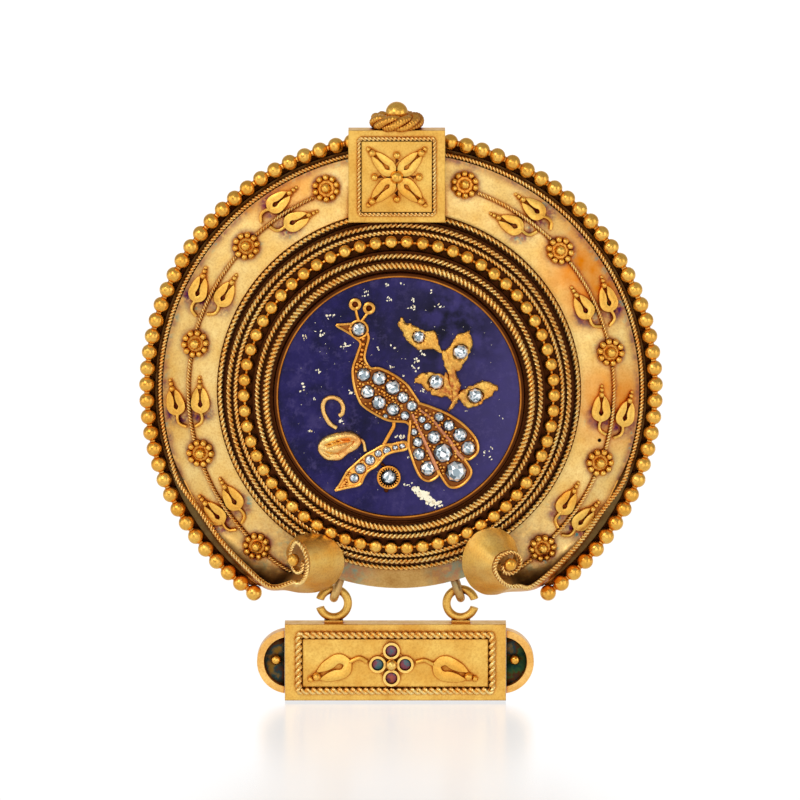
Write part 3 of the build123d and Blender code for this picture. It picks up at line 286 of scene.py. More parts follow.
FEATHER_DIVIDERS = [
    [(1.9, -1.11), (3.18, -2.07), (4.2, -3.29), (5.03, -4.32), (5.73, -5.43), (6.43, -6.2)],
    [(1.33, -1.68), (1.97, -3.17), (2.48, -4.25), (2.93, -5.3), (3.44, -6.4), (3.82, -7.29)],
]
TAIL_FIELD = [
    (1.6, -0.7), (4.84, -1.68), (7.65, -4.2), (7.6, -5.8), (6.6, -6.2), (7.0, -7.8), (6.0, -8.7),
    (4.9, -8.7), (4.0, -7.6), (2.9, -8.2), (2.0, -7.5), (1.1, -4.8), (1.2, -2.4),
]
CREST = [(-4.37, 9.36), (-2.98, 8.98)]
CREST_STEMS = [
    [(-4.3, 8.8), (-4.15, 8.2), (-4.0, 7.7)], [(-3.15, 8.45), (-3.5, 8.0), (-3.75, 7.65)],
]
LEAVES = [
    [(-0.13, 7.49), (0.29, 8.0), (0.9, 7.45), (2.39, 6.78), (3.58, 6.58), (4.19, 4.93),
     (4.6, 4.35), (3.39, 4.7), (2.39, 4.66), (1.55, 4.93), (0.86, 5.57), (0.09, 6.88)],
    [(4.6, 4.35), (5.38, 5.57), (5.83, 6.25), (6.98, 6.78), (7.17, 6.18), (7.29, 5.01),
     (6.9, 4.15), (5.83, 2.61)],
    [(4.84, 2.23), (4.3, 2.23), (3.08, 2.61), (2.16, 2.3), (1.43, 1.52), (2.16, 1.3),
     (2.77, 0.68), (3.39, 0.17), (4.76, -0.02), (5.53, -0.4)],
    [(5.7, 0.2), (6.1, 0.61), (7.9, 1.49), (8.97, 1.49), (9.8, 1.06), (9.74, 0.61),
     (8.97, -0.02), (8.13, -0.71), (7.06, -1.11), (6.45, -0.81)],
]
TRUNK = [
    (4.3, 4.7), (4.95, 4.4), (5.76, 2.23), (6.03, 1.37), (6.0, 0.4), (5.68, -0.5), (5.15, -1.3),
    (4.92, -1.3), (5.2, -0.3), (4.84, 2.23), (4.4, 3.4),
]
BOUGH = [
    (-6.37, -9.4), (-5.23, -9.11), (-3.93, -8.81), (-3.54, -8.1), (-3.08, -7.42), (-2.24, -6.88),
    (-1.4, -5.87), (-0.5, -5.47), (0.75, -5.2), (0.75, -4.5), (-0.63, -4.71), (-1.63, -4.86),
    (-2.47, -5.33), (-3.4, -5.87), (-4.61, -6.96), (-5.23, -7.57), (-5.84, -8.71),
]
FRUIT = [
    (-8.1, -5.35), (-7.9, -4.5), (-7.2, -3.9), (-6.1, -3.55), (-4.8, -3.45), (-3.95, -3.9),
    (-3.75, -4.5), (-4.15, -5.2), (-5.05, -5.7), (-5.75, -6.3), (-6.6, -6.4), (-7.4, -6.25),
]
FRUIT_GROOVES = [
    [(-7.6, -5.4), (-6.9, -5.8), (-5.9, -5.7), (-5.0, -5.1), (-4.4, -4.4)],
    [(-7.4, -4.9), (-6.5, -4.55), (-5.5, -4.3), (-4.6, -4.25)],
]
FRUIT_STEM = [(-4.45, -4.0), (-3.6, -4.45), (-3.35, -5.45)]
# Hammered sheet and its torn edge, each as marks of a fineness and a depth, and how high the
# sheet already stands at its edge
HAMMER_MARKS = ((2.6, 0.07), (6.0, 0.03))
TORN_EDGE = ((2.3, 0.2), (6.1, 0.1))
EDGE_SHARE = 0.45
# Clusters of pyrite: x, y and half the number of specks; then the ends of the one streak
PYRITE = [
    (-3.4, 10.6, 4), (-1.2, 11.3, 2), (-1.1, 9.8, 3), (1.46, 9.8, 2), (1.37, 9.0, 4),
    (0.4, 11.3, 1), (3.3, 10.5, 1), (4.1, 9.3, 2), (-6.8, 8.05, 3), (-7.9, 6.4, 5),
    (-9.5, 6.0, 2), (-5.4, 5.0, 5), (-8.0, 2.6, 3), (-9.5, 0.9, 2), (-4.7, 0.4, 3),
    (-8.1, -0.3, 1), (-5.6, -2.4, 3), (-8.7, -3.4, 2), (-2.0, 4.9, 2), (-0.7, 5.0, 1),
    (-0.7, 3.0, 2), (0.4, 2.1, 1), (2.35, 0.6, 3), (0.1, -4.05, 4), (0.7, -5.9, 1),
    (0.9, -8.9, 4), (9.1, -5.1, 1), (8.7, -5.6, 2), (9.2, -6.2, 1), (10.2, -2.1, 1),
    (6.7, -1.5, 1), (1.9, 3.6, 4), (2.4, 4.4, 3), (1.6, 2.9, 3), (0.9, -1.7, 2),
]
PYRITE_STREAK = ((1.6, -9.4), (4.3, -11.2))
# Number of specks in the streak, and of loose ones; height and thickness of a speck
STREAK_SPECKS = 110
LOOSE_SPECKS = 110
SPECK_HEIGHT = 5.004
SPECK_DEPTH = 0.008
# No speck reaches past this radius, inside the bezel
LAPIS_EDGE = 11.9

# Grains between the stones: tries in each field, where they fall, the smallest and largest
# radius, and the gaps kept between grains, to a wall, and into a stone's edge
GRAIN_TRIES = 6000
GRAIN_REACH = ((-6.4, 8.0), (-9.4, 4.0))
GRAIN_SIZES = (0.12, 0.2)
GRAIN_SPACING = 0.27
GRAIN_WALL_GAP = 0.24
GRAIN_OVERLAP = 0.03
# Granules up the neck and one in the beak
NECK_GRAINS = [
    (-3.57, 5.91), (-3.57, 5.37), (-3.66, 4.79), (-3.73, 4.33), (-3.77, 3.86), (-3.87, 3.20),
    (-4.87, 6.94),
]

# Bloom on the crescent: radius of the clean middle of a rosette and of a pod, how many
# degrees a pod's bloom lies behind it, and the radius of the bloom along the stems
ROSETTE_CLEAN = 1.2
POD_CLEAN = 0.8
POD_TRAIL = 2.6
STEM_BLOOM = 21.3

# Fields of the finishes, by the part's x and z in millimetres and their radius: middles of
# the rim and of the lapis, amber patches and a small pit of the crescent, black as painted
# shade, bloom on the lip, burnt foot of the leaves, dark sky of the lapis, and the bar's
# rounded ends
RIM_FIELD = (0, -7.5)
LAPIS_FIELD = (-0.2, -7.5)
AMBER = [(19.4, 4.6, 2.2), (21.0, -9.0, 1.0), (-12.5, 13.5, 0.4)]
BAND_PIT = (19.84, -12.53, 0.15)
LIP_BLOOM = [(-5.2, -25.4, 0.6), (5.4, -25.3, 0.6)]
BURNT_FOOT = (5.1, -6.4, 0.4)
NIGHT_SKY = (4.5, -0.5, 2.2)
LUNETTE_FIELDS = [(-11.23, -35.325, 2.5), (10.11, -35.325, 2.5)]

# Camera and lights in metres, each light by its place, size and watts
CAMERA_AIM = Vector((-0.0001, -0.0036, -0.008614))
CAMERA_DISTANCE = 1.2
CAMERA_TILT = math.radians(9)
CAMERA_LENS = 540
LIGHT_AIM = Vector((0, 0, -0.0075))
LIGHTS = {
    "key": ((-0.6, -0.9, 0.7), 0.6, 3.25),
    "left": ((-1.1, -0.35, 0.15), 0.7, 1.8),
    "right": ((1.0, -0.6, 0.2), 0.6, 1.55),
    "front": ((0.1, -1.35, 0.28), 0.8, 2.4),
}
# Floor in metres: how far it lies under the lowest point, and its size
FLOOR_GAP = 0.0002
FLOOR_SIZE = 0.8


def polar(radius, angle, height=0.0):
    """Point of the face frame at a radius and an angle clockwise from the top."""
    turn = math.radians(angle)
    return Vector((radius * math.sin(turn), radius * math.cos(turn), height))


def to_polar(point):
    """Radius and angle of a point of the face frame."""
    return math.hypot(point.x, point.y), math.degrees(math.atan2(point.x, point.y))


def flat(points, height=0.0):
    """Points on the lapis, from the medallion's middle."""
    return [Vector((x, y, INLAY_FRONT + height)) + MEDALLION for x, y in points]


def smooth(points, steps=8, closed=False):
    """Close points on a smooth line through a few."""
    if closed:
        ends = [points[-1]] + points + points[:2]
    else:
        ends = [2 * points[0] - points[1]] + points + [2 * points[-1] - points[-2]]
    line = []
    for before, start, end, after in zip(ends, ends[1:], ends[2:], ends[3:]):
        first, second = start + (end - before) / 6, end - (after - start) / 6
        line += interpolate_bezier(start, first, second, end, steps + 1)[:-1]
    return line + [ends[-2].copy()]


def band_height(radius):
    """Height of the crescent's front, steeper outside its crown line."""
    edge, height = BAND_OUTER, BAND_OUTER_HEIGHT
    if radius < BAND_MIDDLE:
        edge, height = BAND_INNER, BAND_INNER_HEIGHT
    share = (radius - BAND_MIDDLE) / (edge - BAND_MIDDLE)
    return BAND_MIDDLE_HEIGHT + (height - BAND_MIDDLE_HEIGHT) * share


def on_band(radius, angle, heading):
    """Matrix that stands a shape on the crescent with its x axis along a heading."""
    slope = band_height(radius + 0.5) - band_height(radius - 0.5)
    normal = (Vector((0, 0, 1)) - polar(slope, angle)).normalized()
    forward = polar(1, heading)
    forward = (forward - normal * forward.dot(normal)).normalized()
    turn = Matrix((forward, normal.cross(forward), normal)).transposed().to_4x4()
    return Matrix.Translation(polar(radius, angle, band_height(radius)) + normal * CLEAR) @ turn


def uneven(point, marks):
    """How far rough metal lies off its smooth shape at a point."""
    return sum(noise.noise(point * fineness) * depth for fineness, depth in marks)


# Shapes


def put(shape, source, place=Matrix()):
    """Add one shape to another at a place."""
    fresh = bpy.data.meshes.new("loose")
    source.to_mesh(fresh)
    fresh.transform(place)
    shape.from_mesh(fresh)
    bpy.data.meshes.remove(fresh)


def ball(shape, middle, radius, segments=20, rings=14):
    """Round granule or bead."""
    bead = bmesh.new()
    bmesh.ops.create_uvsphere(bead, u_segments=segments, v_segments=rings, radius=radius)
    put(shape, bead, Matrix.Translation(middle))
    bead.free()


def disc(shape, place, radius, depth, segments):
    """Small flat disc, or a triangle where it has three segments."""
    bmesh.ops.create_cone(
        shape, cap_ends=True, segments=segments, radius1=radius, radius2=radius, depth=depth,
        matrix=place)


def drawn_wire(thickness, length, steps, turns=0, sides=12):
    """Wire along z, two strands screwed round each other where it has turns."""
    wire = bmesh.new()
    section = bmesh.ops.create_circle(wire, segments=sides, radius=thickness / 2)["verts"]
    for vert in section if turns else []:
        turn = math.atan2(vert.co.y, vert.co.x)
        off = min(abs((turn - math.tau * k / STRANDS + math.pi) % math.tau - math.pi)
                  for k in range(STRANDS))
        rest = STRAND_RADIUS ** 2 - (STRAND_OFF * math.sin(off)) ** 2
        vert.co *= STRAND_OFF * math.cos(off) + math.sqrt(max(rest, 0))
    # One eighth of the wire is spun, and then doubled three times
    short = math.ceil(steps / 8)
    bmesh.ops.spin(
        wire, geom=wire.verts[:] + wire.edges[:], cent=(0, 0, 0), axis=(0, 0, 1),
        dvec=(0, 0, length / 8 / short), angle=math.tau * turns / 8, steps=short,
        use_merge=False, use_duplicate=False)
    for share in (1 / 8, 1 / 4, 1 / 2):
        onward = Matrix.Translation((0, 0, length * share))
        put(wire, wire, onward @ Matrix.Rotation(math.tau * turns * share, 4, "Z"))
    bmesh.ops.remove_doubles(wire, verts=wire.verts, dist=0.001)
    return wire


def line_length(line):
    """Length along a line of points."""
    return sum((b - a).length for a, b in zip(line, line[1:]))


def lay(wire, line, closed=False, width=1.0, taper=None):
    """Bend a straight wire along a line of close points and close or cap its ends."""
    up = Vector((0, 0, 1))
    reach = [0.0]
    for start, end in zip(line, line[1:]):
        reach.append(reach[-1] + (end - start).length)
    tangents = [(b - a).normalized() for a, b in zip([line[0]] + line, line[1:] + [line[-1]])]
    if closed:
        tangents[0] = tangents[-1] = (line[1] - line[-2]).normalized()
    frames = {}
    for vert in wire.verts:
        mark = round(vert.co.z, 5)
        if mark not in frames:
            index = min(max(bisect.bisect_right(reach, vert.co.z) - 1, 0), len(line) - 2)
            share = (vert.co.z - reach[index]) / (reach[index + 1] - reach[index])
            along = tangents[index].lerp(tangents[index + 1], share).normalized()
            over = (up - along * up.dot(along)).normalized()
            size = taper(vert.co.z / reach[-1]) if taper else 1.0
            frames[mark] = (line[index].lerp(line[index + 1], share), over, along.cross(over), size)
        middle, over, side, size = frames[mark]
        vert.co = middle + (over * vert.co.x + side * vert.co.y * width) * size
    if closed:
        bmesh.ops.remove_doubles(wire, verts=wire.verts, dist=0.002)
    bmesh.ops.holes_fill(wire, edges=[edge for edge in wire.edges if edge.is_boundary], sides=0)
    bmesh.ops.recalc_face_normals(wire, faces=wire.faces)
    return wire


def rope(line, thickness, bump, hand=1, closed=False):
    """Strands twisted together, a strand showing once in every bump."""
    length = line_length(line)
    turns = max(round(length / (bump * STRANDS)), 1)
    return lay(drawn_wire(thickness, length, turns * 10, hand * turns), line, closed)


def plain_wire(line, thickness, closed=False, sides=8, width=1.0, taper=None, step=0.12):
    """Plain drawn wire along a line."""
    length = line_length(line)
    wire = drawn_wire(thickness, length, max(int(length / step), 4), sides=sides)
    return lay(wire, line, closed, width=width, taper=taper)


def circle_line(radius, height, middle=MEDALLION, steps=360):
    """Closed line round a point of the face."""
    return [middle + polar(radius, 360 * k / steps, height) for k in range(steps + 1)]


def ring_line(spot, radius, height, steps):
    """Closed line round a spot of the inlay."""
    return circle_line(radius, INLAY_FRONT + height, MEDALLION + Vector((*spot, 0)), steps)


def frame_line(width, height, corner, level):
    """Closed line round a rectangle with small round corners."""
    line = []
    for x, y, start in ((1, 1, 0), (1, -1, 90), (-1, -1, 180), (-1, 1, 270)):
        middle = Vector((x * (width / 2 - corner), y * (height / 2 - corner), level))
        line += [middle + polar(corner, start + turn) for turn in (0, 15, 30, 45, 60, 75, 90)]
    line = [line[0].lerp(line[-1], 0.5)] + line
    dense = []
    for start, end in zip(line, line[1:] + line[:1]):
        count = max(int((end - start).length / 0.4), 1)
        dense += [start.lerp(end, k / count) for k in range(count)]
    return dense + [dense[0].copy()]


def box_rope(size, corner, bump, place):
    """Rope frame on the front of a box: its size is width, height and thickness."""
    width, height, thickness = size
    line = frame_line(width - thickness, height - thickness, corner, CLEAR + thickness / 2)
    return rope([place @ p for p in line], thickness, bump, closed=True)


def keyhole_outline(length, half_width):
    """Outline of a leaf with a keyhole slot, its base at the origin and its tips along x."""
    side = [Vector((x * length, y * half_width, 0)) for x, y in KEYHOLE_SIDE]
    slot = [Vector((x * length, y * half_width, 0)) for x, y in KEYHOLE_SLOT]
    middle, reach, drop = KEYHOLE_EYE
    eye = [
        Vector(((middle + reach * math.cos(turn)) * length, drop * half_width * math.sin(turn), 0))
        for turn in map(math.radians, (40, 75, 110, 145))]
    upper = smooth(side, 4) + slot + eye
    lower = [Vector((p.x, -p.y, 0)) for p in upper[::-1]]
    return upper + [Vector((KEYHOLE_END * length, 0, 0))] + lower[:-1]


def leaf_plate(length, half_width, thickness, edge):
    """Keyhole leaf cut from sheet, its upper edges eased."""
    leaf = bmesh.new()
    face = leaf.faces.new([leaf.verts.new(p) for p in keyhole_outline(length, half_width)])
    raised = bmesh.ops.extrude_face_region(leaf, geom=[face])["geom"]
    top = [item for item in raised if isinstance(item, bmesh.types.BMVert)]
    bmesh.ops.translate(leaf, vec=(0, 0, thickness), verts=top)
    rim = [item for item in raised if isinstance(item, bmesh.types.BMEdge)]
    bmesh.ops.bevel(
        leaf, geom=rim, offset=edge, segments=2, profile=0.5, affect="EDGES", material=-1)
    bmesh.ops.recalc_face_normals(leaf, faces=leaf.faces)
    return leaf


def leaf_with_grains(length, half_width, thickness, grains, edge=0.05):
    """Keyhole leaf with a row of granules beyond its tips."""
    leaf = leaf_plate(length, half_width, thickness, edge)
    reach = length + TIP_GAP
    for index, grain in enumerate(grains):
        if index:
            reach += (grains[index - 1] + grain) / 2 - GRAIN_MEET
        ball(leaf, (reach, 0, grain / 2), grain / 2, 10, 7)
    return leaf


def cushion(outline, height, border, cell, pressed):
    """Low relief inside an outline, domed within its border, rough as hammered sheet and
    pressed down by a function of the place."""
    relief = bmesh.new()
    relief.faces.new([relief.verts.new(p) for p in outline])
    low = Vector(min(p[k] for p in outline) for k in range(3))
    high = Vector(max(p[k] for p in outline) for k in range(3))
    for axis in (0, 1):
        normal = Vector((axis == 0, axis == 1, 0))
        for cut in range(1, int((high[axis] - low[axis]) / cell) + 1):
            bmesh.ops.bisect_plane(
                relief, geom=relief.verts[:] + relief.edges[:] + relief.faces[:], dist=1e-5,
                plane_co=low + normal * cell * cut, plane_no=normal)
    bmesh.ops.triangulate(relief, faces=relief.faces)
    rings = list(zip(outline, outline[1:] + outline[:1]))
    rim = [edge for edge in relief.edges if edge.is_boundary]
    for vert in relief.verts:
        gap = min((vert.co - near_point(vert.co, a, b)).length for a, b in rings)
        share = min(gap / border, 1.0)
        lift = height * (EDGE_SHARE + (1 - EDGE_SHARE) * math.sqrt(share * (2 - share)))
        vert.co.z += lift + uneven(vert.co, HAMMER_MARKS) * share
        vert.co.z += pressed(vert.co) * share
    skirt = bmesh.ops.extrude_edge_only(relief, edges=rim)["geom"]
    for item in skirt:
        if isinstance(item, bmesh.types.BMVert):
            item.co.z = outline[0].z
    bmesh.ops.recalc_face_normals(relief, faces=relief.faces)
    return relief


def near_point(point, start, end):
    """Nearest point of a straight run."""
    place, share = intersect_point_line(point, start, end)
    return start if share < 0 else end if share > 1 else place


def inside(point, outline):
    """True within a closed outline, seen from the front."""
    crossed = False
    for a, b in zip(outline, outline[1:] + outline[:1]):
        if (a[1] > point[1]) != (b[1] > point[1]):
            if point[0] < a[0] + (point[1] - a[1]) / (b[1] - a[1]) * (b[0] - a[0]):
                crossed = not crossed
    return crossed


def piece(shape, name, body, slot, finish, *nodes, crease=38):
    """Stand a finished shape up in the part's frame, in place of its CAD nodes."""
    bmesh.ops.transform(shape, matrix=STAND, verts=shape.verts)
    for face in shape.faces:
        face.smooth = True
    for edge in shape.edges:
        edge.smooth = len(edge.link_faces) == 2 and edge.calc_face_angle() < math.radians(crease)
    mesh = bpy.data.meshes.new(name)
    shape.to_mesh(mesh)
    shape.free()
    made = bpy.data.objects.new(name, mesh)
    bpy.context.scene.collection.objects.link(made)
    mesh.materials.append(finish)
    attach(made, body)
    if nodes:
        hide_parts(*nodes)


# Finishes


def colour(code):
    """Linear colour of an sRGB hex value."""
    parts = [int(code[k:k + 2], 16) / 255 for k in (1, 3, 5)]
    return [p / 12.92 if p <= 0.04045 else ((p + 0.055) / 1.055) ** 2.4 for p in parts] + [1.0]


def node(tree, kind, inputs=None, **settings):
    """Add a node; its inputs are values or the outputs of other nodes."""
    made = tree.nodes.new(kind)
    for name, value in settings.items():
        setattr(made, name, value)
    for name, value in (inputs or {}).items():
        if isinstance(value, bpy.types.NodeSocket):
            tree.links.new(value, made.inputs[name])
        else:
            made.inputs[name].default_value = value
    return made


def finish(name, **values):
    """New material with a principled surface."""
    made = bpy.data.materials.new(name)
    made.use_nodes = True
    surface = made.node_tree.nodes["Principled BSDF"]
    for socket, value in values.items():
        surface.inputs[socket.replace("_", " ")].default_value = value
    return made, made.node_tree, surface


def clouds(tree, size, detail=3.0, rough=0.55):
    """Noise whose patches are about a size across, in millimetres."""
    place = node(tree, "ShaderNodeTexCoord").outputs["Object"]
    return node(tree, "ShaderNodeTexNoise", {
        "Vector": place, "Scale": 1 / (size * MM), "Detail": detail, "Roughness": rough,
    }).outputs["Fac"]


def ramp(tree, fac, stops):
    """Colour ramp of (place, hex) stops."""
    made = node(tree, "ShaderNodeValToRGB", {"Fac": fac})
    marks = made.color_ramp.elements
    while len(marks) < len(stops):
        marks.new(0.5)
    for mark, (place, code) in zip(marks, stops):
        mark.position = place
        mark.color = colour(code)
    return made.outputs["Color"]


def blend(tree, fac, first, second, kind="MIX"):
    """Mix two colours."""
    return node(tree, "ShaderNodeMix", {6: first, 7: second, 0: fac},
                data_type="RGBA", blend_type=kind).outputs[2]


def spread(tree, value, low, high, to_low=0.0, to_high=1.0):
    """Stretch a value from one range to another."""
    return node(tree, "ShaderNodeMapRange", {
        "Value": value, "From Min": low, "From Max": high, "To Min": to_low, "To Max": to_high,
    }).outputs["Result"]


def bumps(tree, surface, layers, rounded=0.0):
    """Relief from (height, depth in millimetres) layers, on edges rounded by a radius."""
    normal = None
    if rounded:
        edges = node(tree, "ShaderNodeBevel", {"Radius": rounded * MM}, samples=6)
        normal = edges.outputs["Normal"]
    for height, depth in layers:
        inputs = {"Height": height, "Distance": depth * MM, "Strength": 1.0}
        if normal:
            inputs["Normal"] = normal
        normal = node(tree, "ShaderNodeBump", inputs).outputs["Normal"]
    tree.links.new(normal, surface.inputs["Normal"])


def gold(name, pale, deep, rough, reach, grain=0.05, dents=0.012, dent_size=2.5, tint=None,
         shade_mask=None, rounded=0.0):
    """Gold whose colour painted shade turns brown, then black, in its hollows within a reach in
    millimetres, and flat dark brown where a shade mask says.
    """
    made, tree, surface = finish(name, Metallic=1.0)
    patches = spread(tree, clouds(tree, 3.0), 0.3, 0.75)
    body = blend(tree, patches, colour(pale), colour(deep))
    sand = ramp(tree, clouds(tree, 0.2), [(0.34, "#C89A5C"), (0.56, "#FFFFFF")])
    body = blend(tree, 0.3, body, sand, "MULTIPLY")
    if tint:
        body = tint(tree, body)
    # Painted shade: the colour darkens to brown and then black where the AO node finds hollows
    hollow = node(tree, "ShaderNodeAmbientOcclusion", {"Distance": reach * MM}, samples=8)
    shade = ramp(tree, hollow.outputs["AO"], [
        (0.12, "#1A0A04"), (0.34, "#6A340E"), (0.56, "#CC8840"), (0.8, "#FFFFFF"),
    ])
    body = blend(tree, 1.0, body, shade, "MULTIPLY")
    # Painted shade: flat dark brown wherever the shade mask covers
    if shade_mask:
        body = blend(tree, shade_mask(tree), body, colour("#4A250F"))
    tree.links.new(body, surface.inputs["Base Color"])
    worn = spread(tree, clouds(tree, 0.9), 0.3, 0.7, rough - 0.05, rough + 0.1)
    tree.links.new(worn, surface.inputs["Roughness"])
    bumps(tree, surface, [
        (clouds(tree, dent_size, 2.0), dents * 4), (clouds(tree, grain * 3, 2.0), grain * 0.16),
    ], rounded)
    return made


def within(tree, x, z, radius, soft=0.15):
    """1 inside a round field of the front, given in the part's millimetres."""
    place = node(tree, "ShaderNodeTexCoord").outputs["Object"]
    flat_place = node(tree, "ShaderNodeVectorMath", {0: place, 1: (1, 0, 1)},
                      operation="MULTIPLY").outputs[0]
    gap = node(tree, "ShaderNodeVectorMath", {0: flat_place, 1: (x * MM, 0, z * MM)},
               operation="DISTANCE").outputs["Value"]
    return spread(tree, gap, (radius + soft) * MM, radius * MM)


def tarnish_and_shade(tree, body):
    """Brown, rose and purple bloom, with a little blue-green, where the halo is strong; painted
    shade, near black, in the small pit, the groove and the trough by the volutes.
    """
    mark = node(tree, "ShaderNodeAttribute", attribute_name="halo").outputs["Fac"]
    hue = ramp(tree, clouds(tree, 1.1, 4.0), [
        (0.34, "#3F868A"), (0.41, "#A87A56"), (0.49, "#8A4048"), (0.57, "#4A2050"),
        (0.68, "#B8703A"),
    ])
    torn = node(tree, "ShaderNodeMath", {
        0: mark, 1: spread(tree, clouds(tree, 0.6, 5.0), 0.25, 0.5),
    }, operation="MULTIPLY").outputs[0]
    tinted = body
    for patch in AMBER:
        warm = node(tree, "ShaderNodeMath", {
            0: within(tree, *patch, 4.5), 1: spread(tree, clouds(tree, 2.2), 0.3, 0.6, 0.5, 1.0),
        }, operation="MULTIPLY").outputs[0]
        tinted = blend(tree, warm, tinted, colour("#E88408"))
    edge = node(tree, "ShaderNodeMath", {0: 0.45, 1: within(tree, *RIM_FIELD, 21.8, 2.0)},
                operation="SUBTRACT", use_clamp=True).outputs[0]
    tinted = blend(tree, edge, tinted, colour("#DE9232"))
    # Painted shade: the small pit is a near black dot
    tinted = blend(tree, within(tree, *BAND_PIT, 0.08), tinted, colour("#140704"))
    front = node(tree, "ShaderNodeAttribute", attribute_name="front").outputs["Fac"]
    # Painted shade: near black in the groove under the rim's beads and in the trough by the volutes
    painted_shade = node(tree, "ShaderNodeAttribute", attribute_name="painted_shade").outputs["Fac"]
    bloomed = blend(tree, torn, blend(tree, front, body, tinted), hue)
    return blend(tree, painted_shade, bloomed, colour("#220B08"))


def painted_shade_foot(tree, body):
    """The volutes' lower edges, tinted amber as painted shade."""
    low = node(tree, "ShaderNodeMath", {0: 0.8, 1: within(tree, *RIM_FIELD, 21.6, 2.6)},
               operation="SUBTRACT", use_clamp=True).outputs[0]
    return blend(tree, low, body, colour("#E08A1E"))


def toward_trunk(tree, body):
    """Leaves grow redder towards the trunk, where the heat of soldering stayed longest."""
    near = within(tree, *BURNT_FOOT, 2.8)
    burnt = spread(tree, clouds(tree, 0.5, 4.0), 0.38, 0.6)
    mark = node(tree, "ShaderNodeMath", {0: near, 1: burnt}, operation="MULTIPLY").outputs[0]
    return blend(tree, mark, body, colour("#B85C30"))


def bloomed_lip(tree, body):
    """Blue-green and rose bloom on the lip under the medallion, next to the volutes."""
    hue = ramp(tree, clouds(tree, 0.9, 4.0), [
        (0.4, "#5A8A84"), (0.5, "#9A8468"), (0.58, "#A86A5C"), (0.66, "#C89A60"),
    ])
    for place in LIP_BLOOM:
        mark = node(tree, "ShaderNodeMath", {0: within(tree, *place, 3.0), 1: 0.75},
                    operation="MULTIPLY").outputs[0]
        body = blend(tree, mark, body, hue)
    return body


def painted_shade_steps(tree):
    """The stepped collar under the ropes, painted dark as shade; the dish outside it is left as it
    is.
    """
    return within(tree, *LAPIS_FIELD, 18.1)


def painted_shade_bezel(tree):
    """The bezel's outer slope, painted dark as shade."""
    return node(tree, "ShaderNodeMath", {0: 1.0, 1: within(tree, *LAPIS_FIELD, 12.12, 0.12)},
                operation="SUBTRACT").outputs[0]


# Yellow gold sheet, hammered and left satin: broad soft shine, with colour bloom by the solder
satin_gold = gold("satin_gold_sheet", "#FFDE92", "#F4C46A", 0.42, 0.7, dents=0.004, tint=tarnish_and_shade)
# Gold of the volutes: rubbed bright and smooth, with amber painted shade on its lower edges
volute_gold = gold("rubbed_gold_sheet", "#FFE08C", "#F8C860", 0.38, 0.5, dents=0.006,
                   tint=painted_shade_foot)
# The same sheet as the stepped collar and dish: black painted shade under the ropes, bloomed at the
# lip
collar_gold = gold("collar_gold_sheet", "#F2CA7E", "#C4924E", 0.42, 1.2, dents=0.006,
                   tint=bloomed_lip, shade_mask=painted_shade_steps)
# Round gold beads, finely pitted: broken cream highlights and orange-brown sides
bead_gold = gold("gold_beads", "#FDCA62", "#EEA83C", 0.26, 0.28, grain=0.08, dent_size=0.5)
# Twisted gold wire: bright crests and brown painted shade in the twist
rope_gold = gold("twisted_gold_wire", "#FFE49A", "#FAC060", 0.30, 0.11, dents=0.003)
# Cords wound with fine wire: orange gold, brown painted shade between the turns
cord_gold = gold("wound_gold_wire", "#F6B850", "#CC8434", 0.30, 0.3, dents=0.003)
# Plain cut gold sheet of the leaves: flat, finely scratched, a deeper yellow than the band
leaf_sheet_gold = gold("cut_gold_sheet", "#FFD068", "#F6B044", 0.38, 0.14, dents=0.006)
# Polished gold of the loops and hooks, with wear
polished_gold = gold("polished_gold", "#FFDC84", "#F4BE58", 0.30, 1.0)
# Bezel: rubbed bright on its lip, with black painted shade where it turns down to the first rope
bezel_gold = gold("bezel_gold", "#D88A34", "#8A4A1C", 0.30, 0.5, shade_mask=painted_shade_bezel)
# Box gold: sheet dressed with a file, its edges softened by wear, with painted shade round the rope
box_gold = gold("filed_gold_sheet", "#F4C868", "#E2A646", 0.40, 0.5, dents=0.010, rounded=0.2)
# Closed back: plain rolled sheet, duller than the front
back_gold = gold("rolled_gold_sheet", "#EBC078", "#CF9A4E", 0.42, 1.2)
# Inlay walls: rich orange gold, its hollows darkened by painted shade so that the edges stay bright
inlay_gold = gold("inlay_gold_wall", "#FFC462", "#F49A34", 0.28, 0.14, dents=0.008, dent_size=0.6)
# Rose gold dividers between the feathers
rose_gold = gold("rose_gold_wire", "#EEA676", "#B0644A", 0.30, 0.16, dents=0.008, dent_size=0.6)
# Hammered leaf gold: torn, grainy and orange towards the trunk
hammered_gold = gold("hammered_gold_leaf", "#FFD26C", "#F09E3C", 0.34, 0.2, grain=0.14, dents=0.06,
                     dent_size=0.38, tint=toward_trunk)
# Carved gold of the fruit and tendril: bright on its ridges, red-brown painted shade between
fruit_gold = gold("carved_gold", "#FFE08C", "#F49C4C", 0.32, 0.16, grain=0.1, dents=0.03,
                  dent_size=0.5)
# Dark brown to black gold under the stones and in the crest's eyes, and as painted shade in the
# plaque's notches
recess_gold = gold("dark_recess_gold", "#7A3E1C", "#2E120A", 0.5, 0.25)
# Gold under the peacock's stones, a darker brown
nest_gold = gold("brown_gold", "#A8642E", "#5E3014", 0.42, 0.16)


